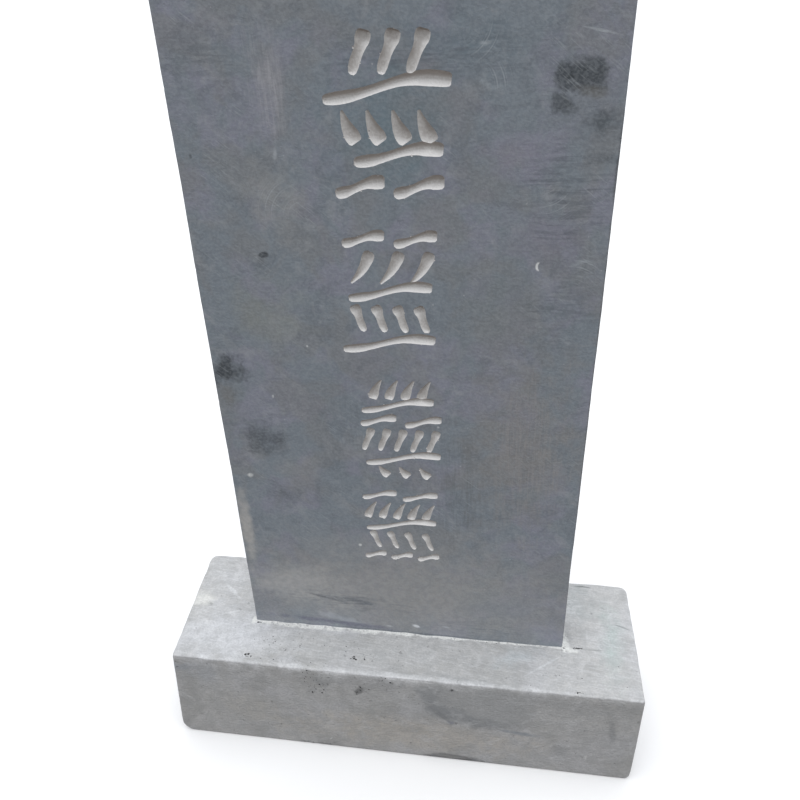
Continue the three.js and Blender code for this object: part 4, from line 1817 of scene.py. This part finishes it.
@dataclass
class Studio:
    """The ground, the light and the camera."""

    camera_at: tuple[float, float, float] = (0.11703, -0.68349, 0.88145)
    yaw: float = -0.158868
    pitch: float = 0.520897
    roll: float = -0.0327261
    lens: float = 32.69
    sensor: float = 36.0
    ground_reach: float = 200.0
    sky: str = "#f6f9ff"
    sky_strength: float = 0.82
    bounce: str = "#8f8983"
    sun_strength: float = 2.0
    sun_tilt: float = 8.0
    sun_spread: float = 60.0

    def build(self) -> None:
        """Builds the studio."""
        self.ground()
        self.light()
        self.camera()

    def ground(self) -> None:
        """Lays the pale ground, which takes shadows and leaves the bounced light to the sky."""
        made = bmesh.new()
        bmesh.ops.create_grid(made, x_segments=1, y_segments=1, size=self.ground_reach)
        ground = piece_from("ground", made, StudioFloor().material())
        ground.visible_diffuse = False
        ground.visible_glossy = False

    def light(self) -> None:
        """Lights the stele from a broad even sky, dim and warm below, and a soft lamp overhead."""
        lamp = bpy.data.lights.new("overhead", "SUN")
        lamp.energy = self.sun_strength
        lamp.angle = math.radians(self.sun_spread)
        sun = bpy.data.objects.new("overhead", lamp)
        sun.rotation_euler = (math.radians(self.sun_tilt), 0, 0)
        bpy.context.scene.collection.objects.link(sun)
        world = bpy.data.worlds.new("sky")
        world.use_nodes = True
        tree = world.node_tree
        ray = add_node(tree, "ShaderNodeTexCoord").outputs["Generated"]
        level = add_node(tree, "ShaderNodeSeparateXYZ", {0: ray})
        above = add_node(
            tree,
            "ShaderNodeMapRange",
            {"Value": level.outputs["Z"], "From Min": -0.06, "From Max": 0.02},
        )
        colour = add_node(
            tree,
            "ShaderNodeMix",
            {
                "Factor_Float": above.outputs["Result"],
                "A_Color": linear(self.bounce),
                "B_Color": linear(self.sky),
            },
            data_type="RGBA",
        )
        background = tree.nodes["Background"]
        tree.links.new(colour.outputs[2], background.inputs["Color"])
        background.inputs["Strength"].default_value = self.sky_strength
        bpy.context.scene.world = world
        bpy.context.scene.view_settings.view_transform = "Standard"

    def camera(self) -> None:
        """Sets the camera up, looking down on the face from a little to the right."""
        ahead = Vector((
            math.sin(self.yaw) * math.cos(self.pitch),
            math.cos(self.yaw) * math.cos(self.pitch),
            -math.sin(self.pitch),
        ))
        right = Vector((math.cos(self.yaw), -math.sin(self.yaw), 0))
        up = right.cross(ahead)
        cosine, sine = math.cos(self.roll), math.sin(self.roll)
        rolled_right = right * cosine + up * sine
        rolled_up = up * cosine - right * sine
        turn = Matrix((rolled_right, rolled_up, -ahead)).transposed().to_4x4()
        data = bpy.data.cameras.new("camera")
        data.lens = self.lens
        data.sensor_width = self.sensor
        camera = bpy.data.objects.new("camera", data)
        camera.matrix_world = Matrix.Translation(self.camera_at) @ turn
        bpy.context.scene.collection.objects.link(camera)
        bpy.context.scene.camera = camera


def main() -> None:
    """Builds the studio and the three pieces."""
    logging.basicConfig(level=logging.INFO, format="%(name)s: %(message)s")
    Studio().build()
    chips = chip_tree()
    mortise = Mortise()
    plinth = Plinth()
    plinth.build(chips, mortise)
    Tablet().build(chips)
    mortise.build(chips, plinth.finish())


if __name__ == "__main__":
    main()
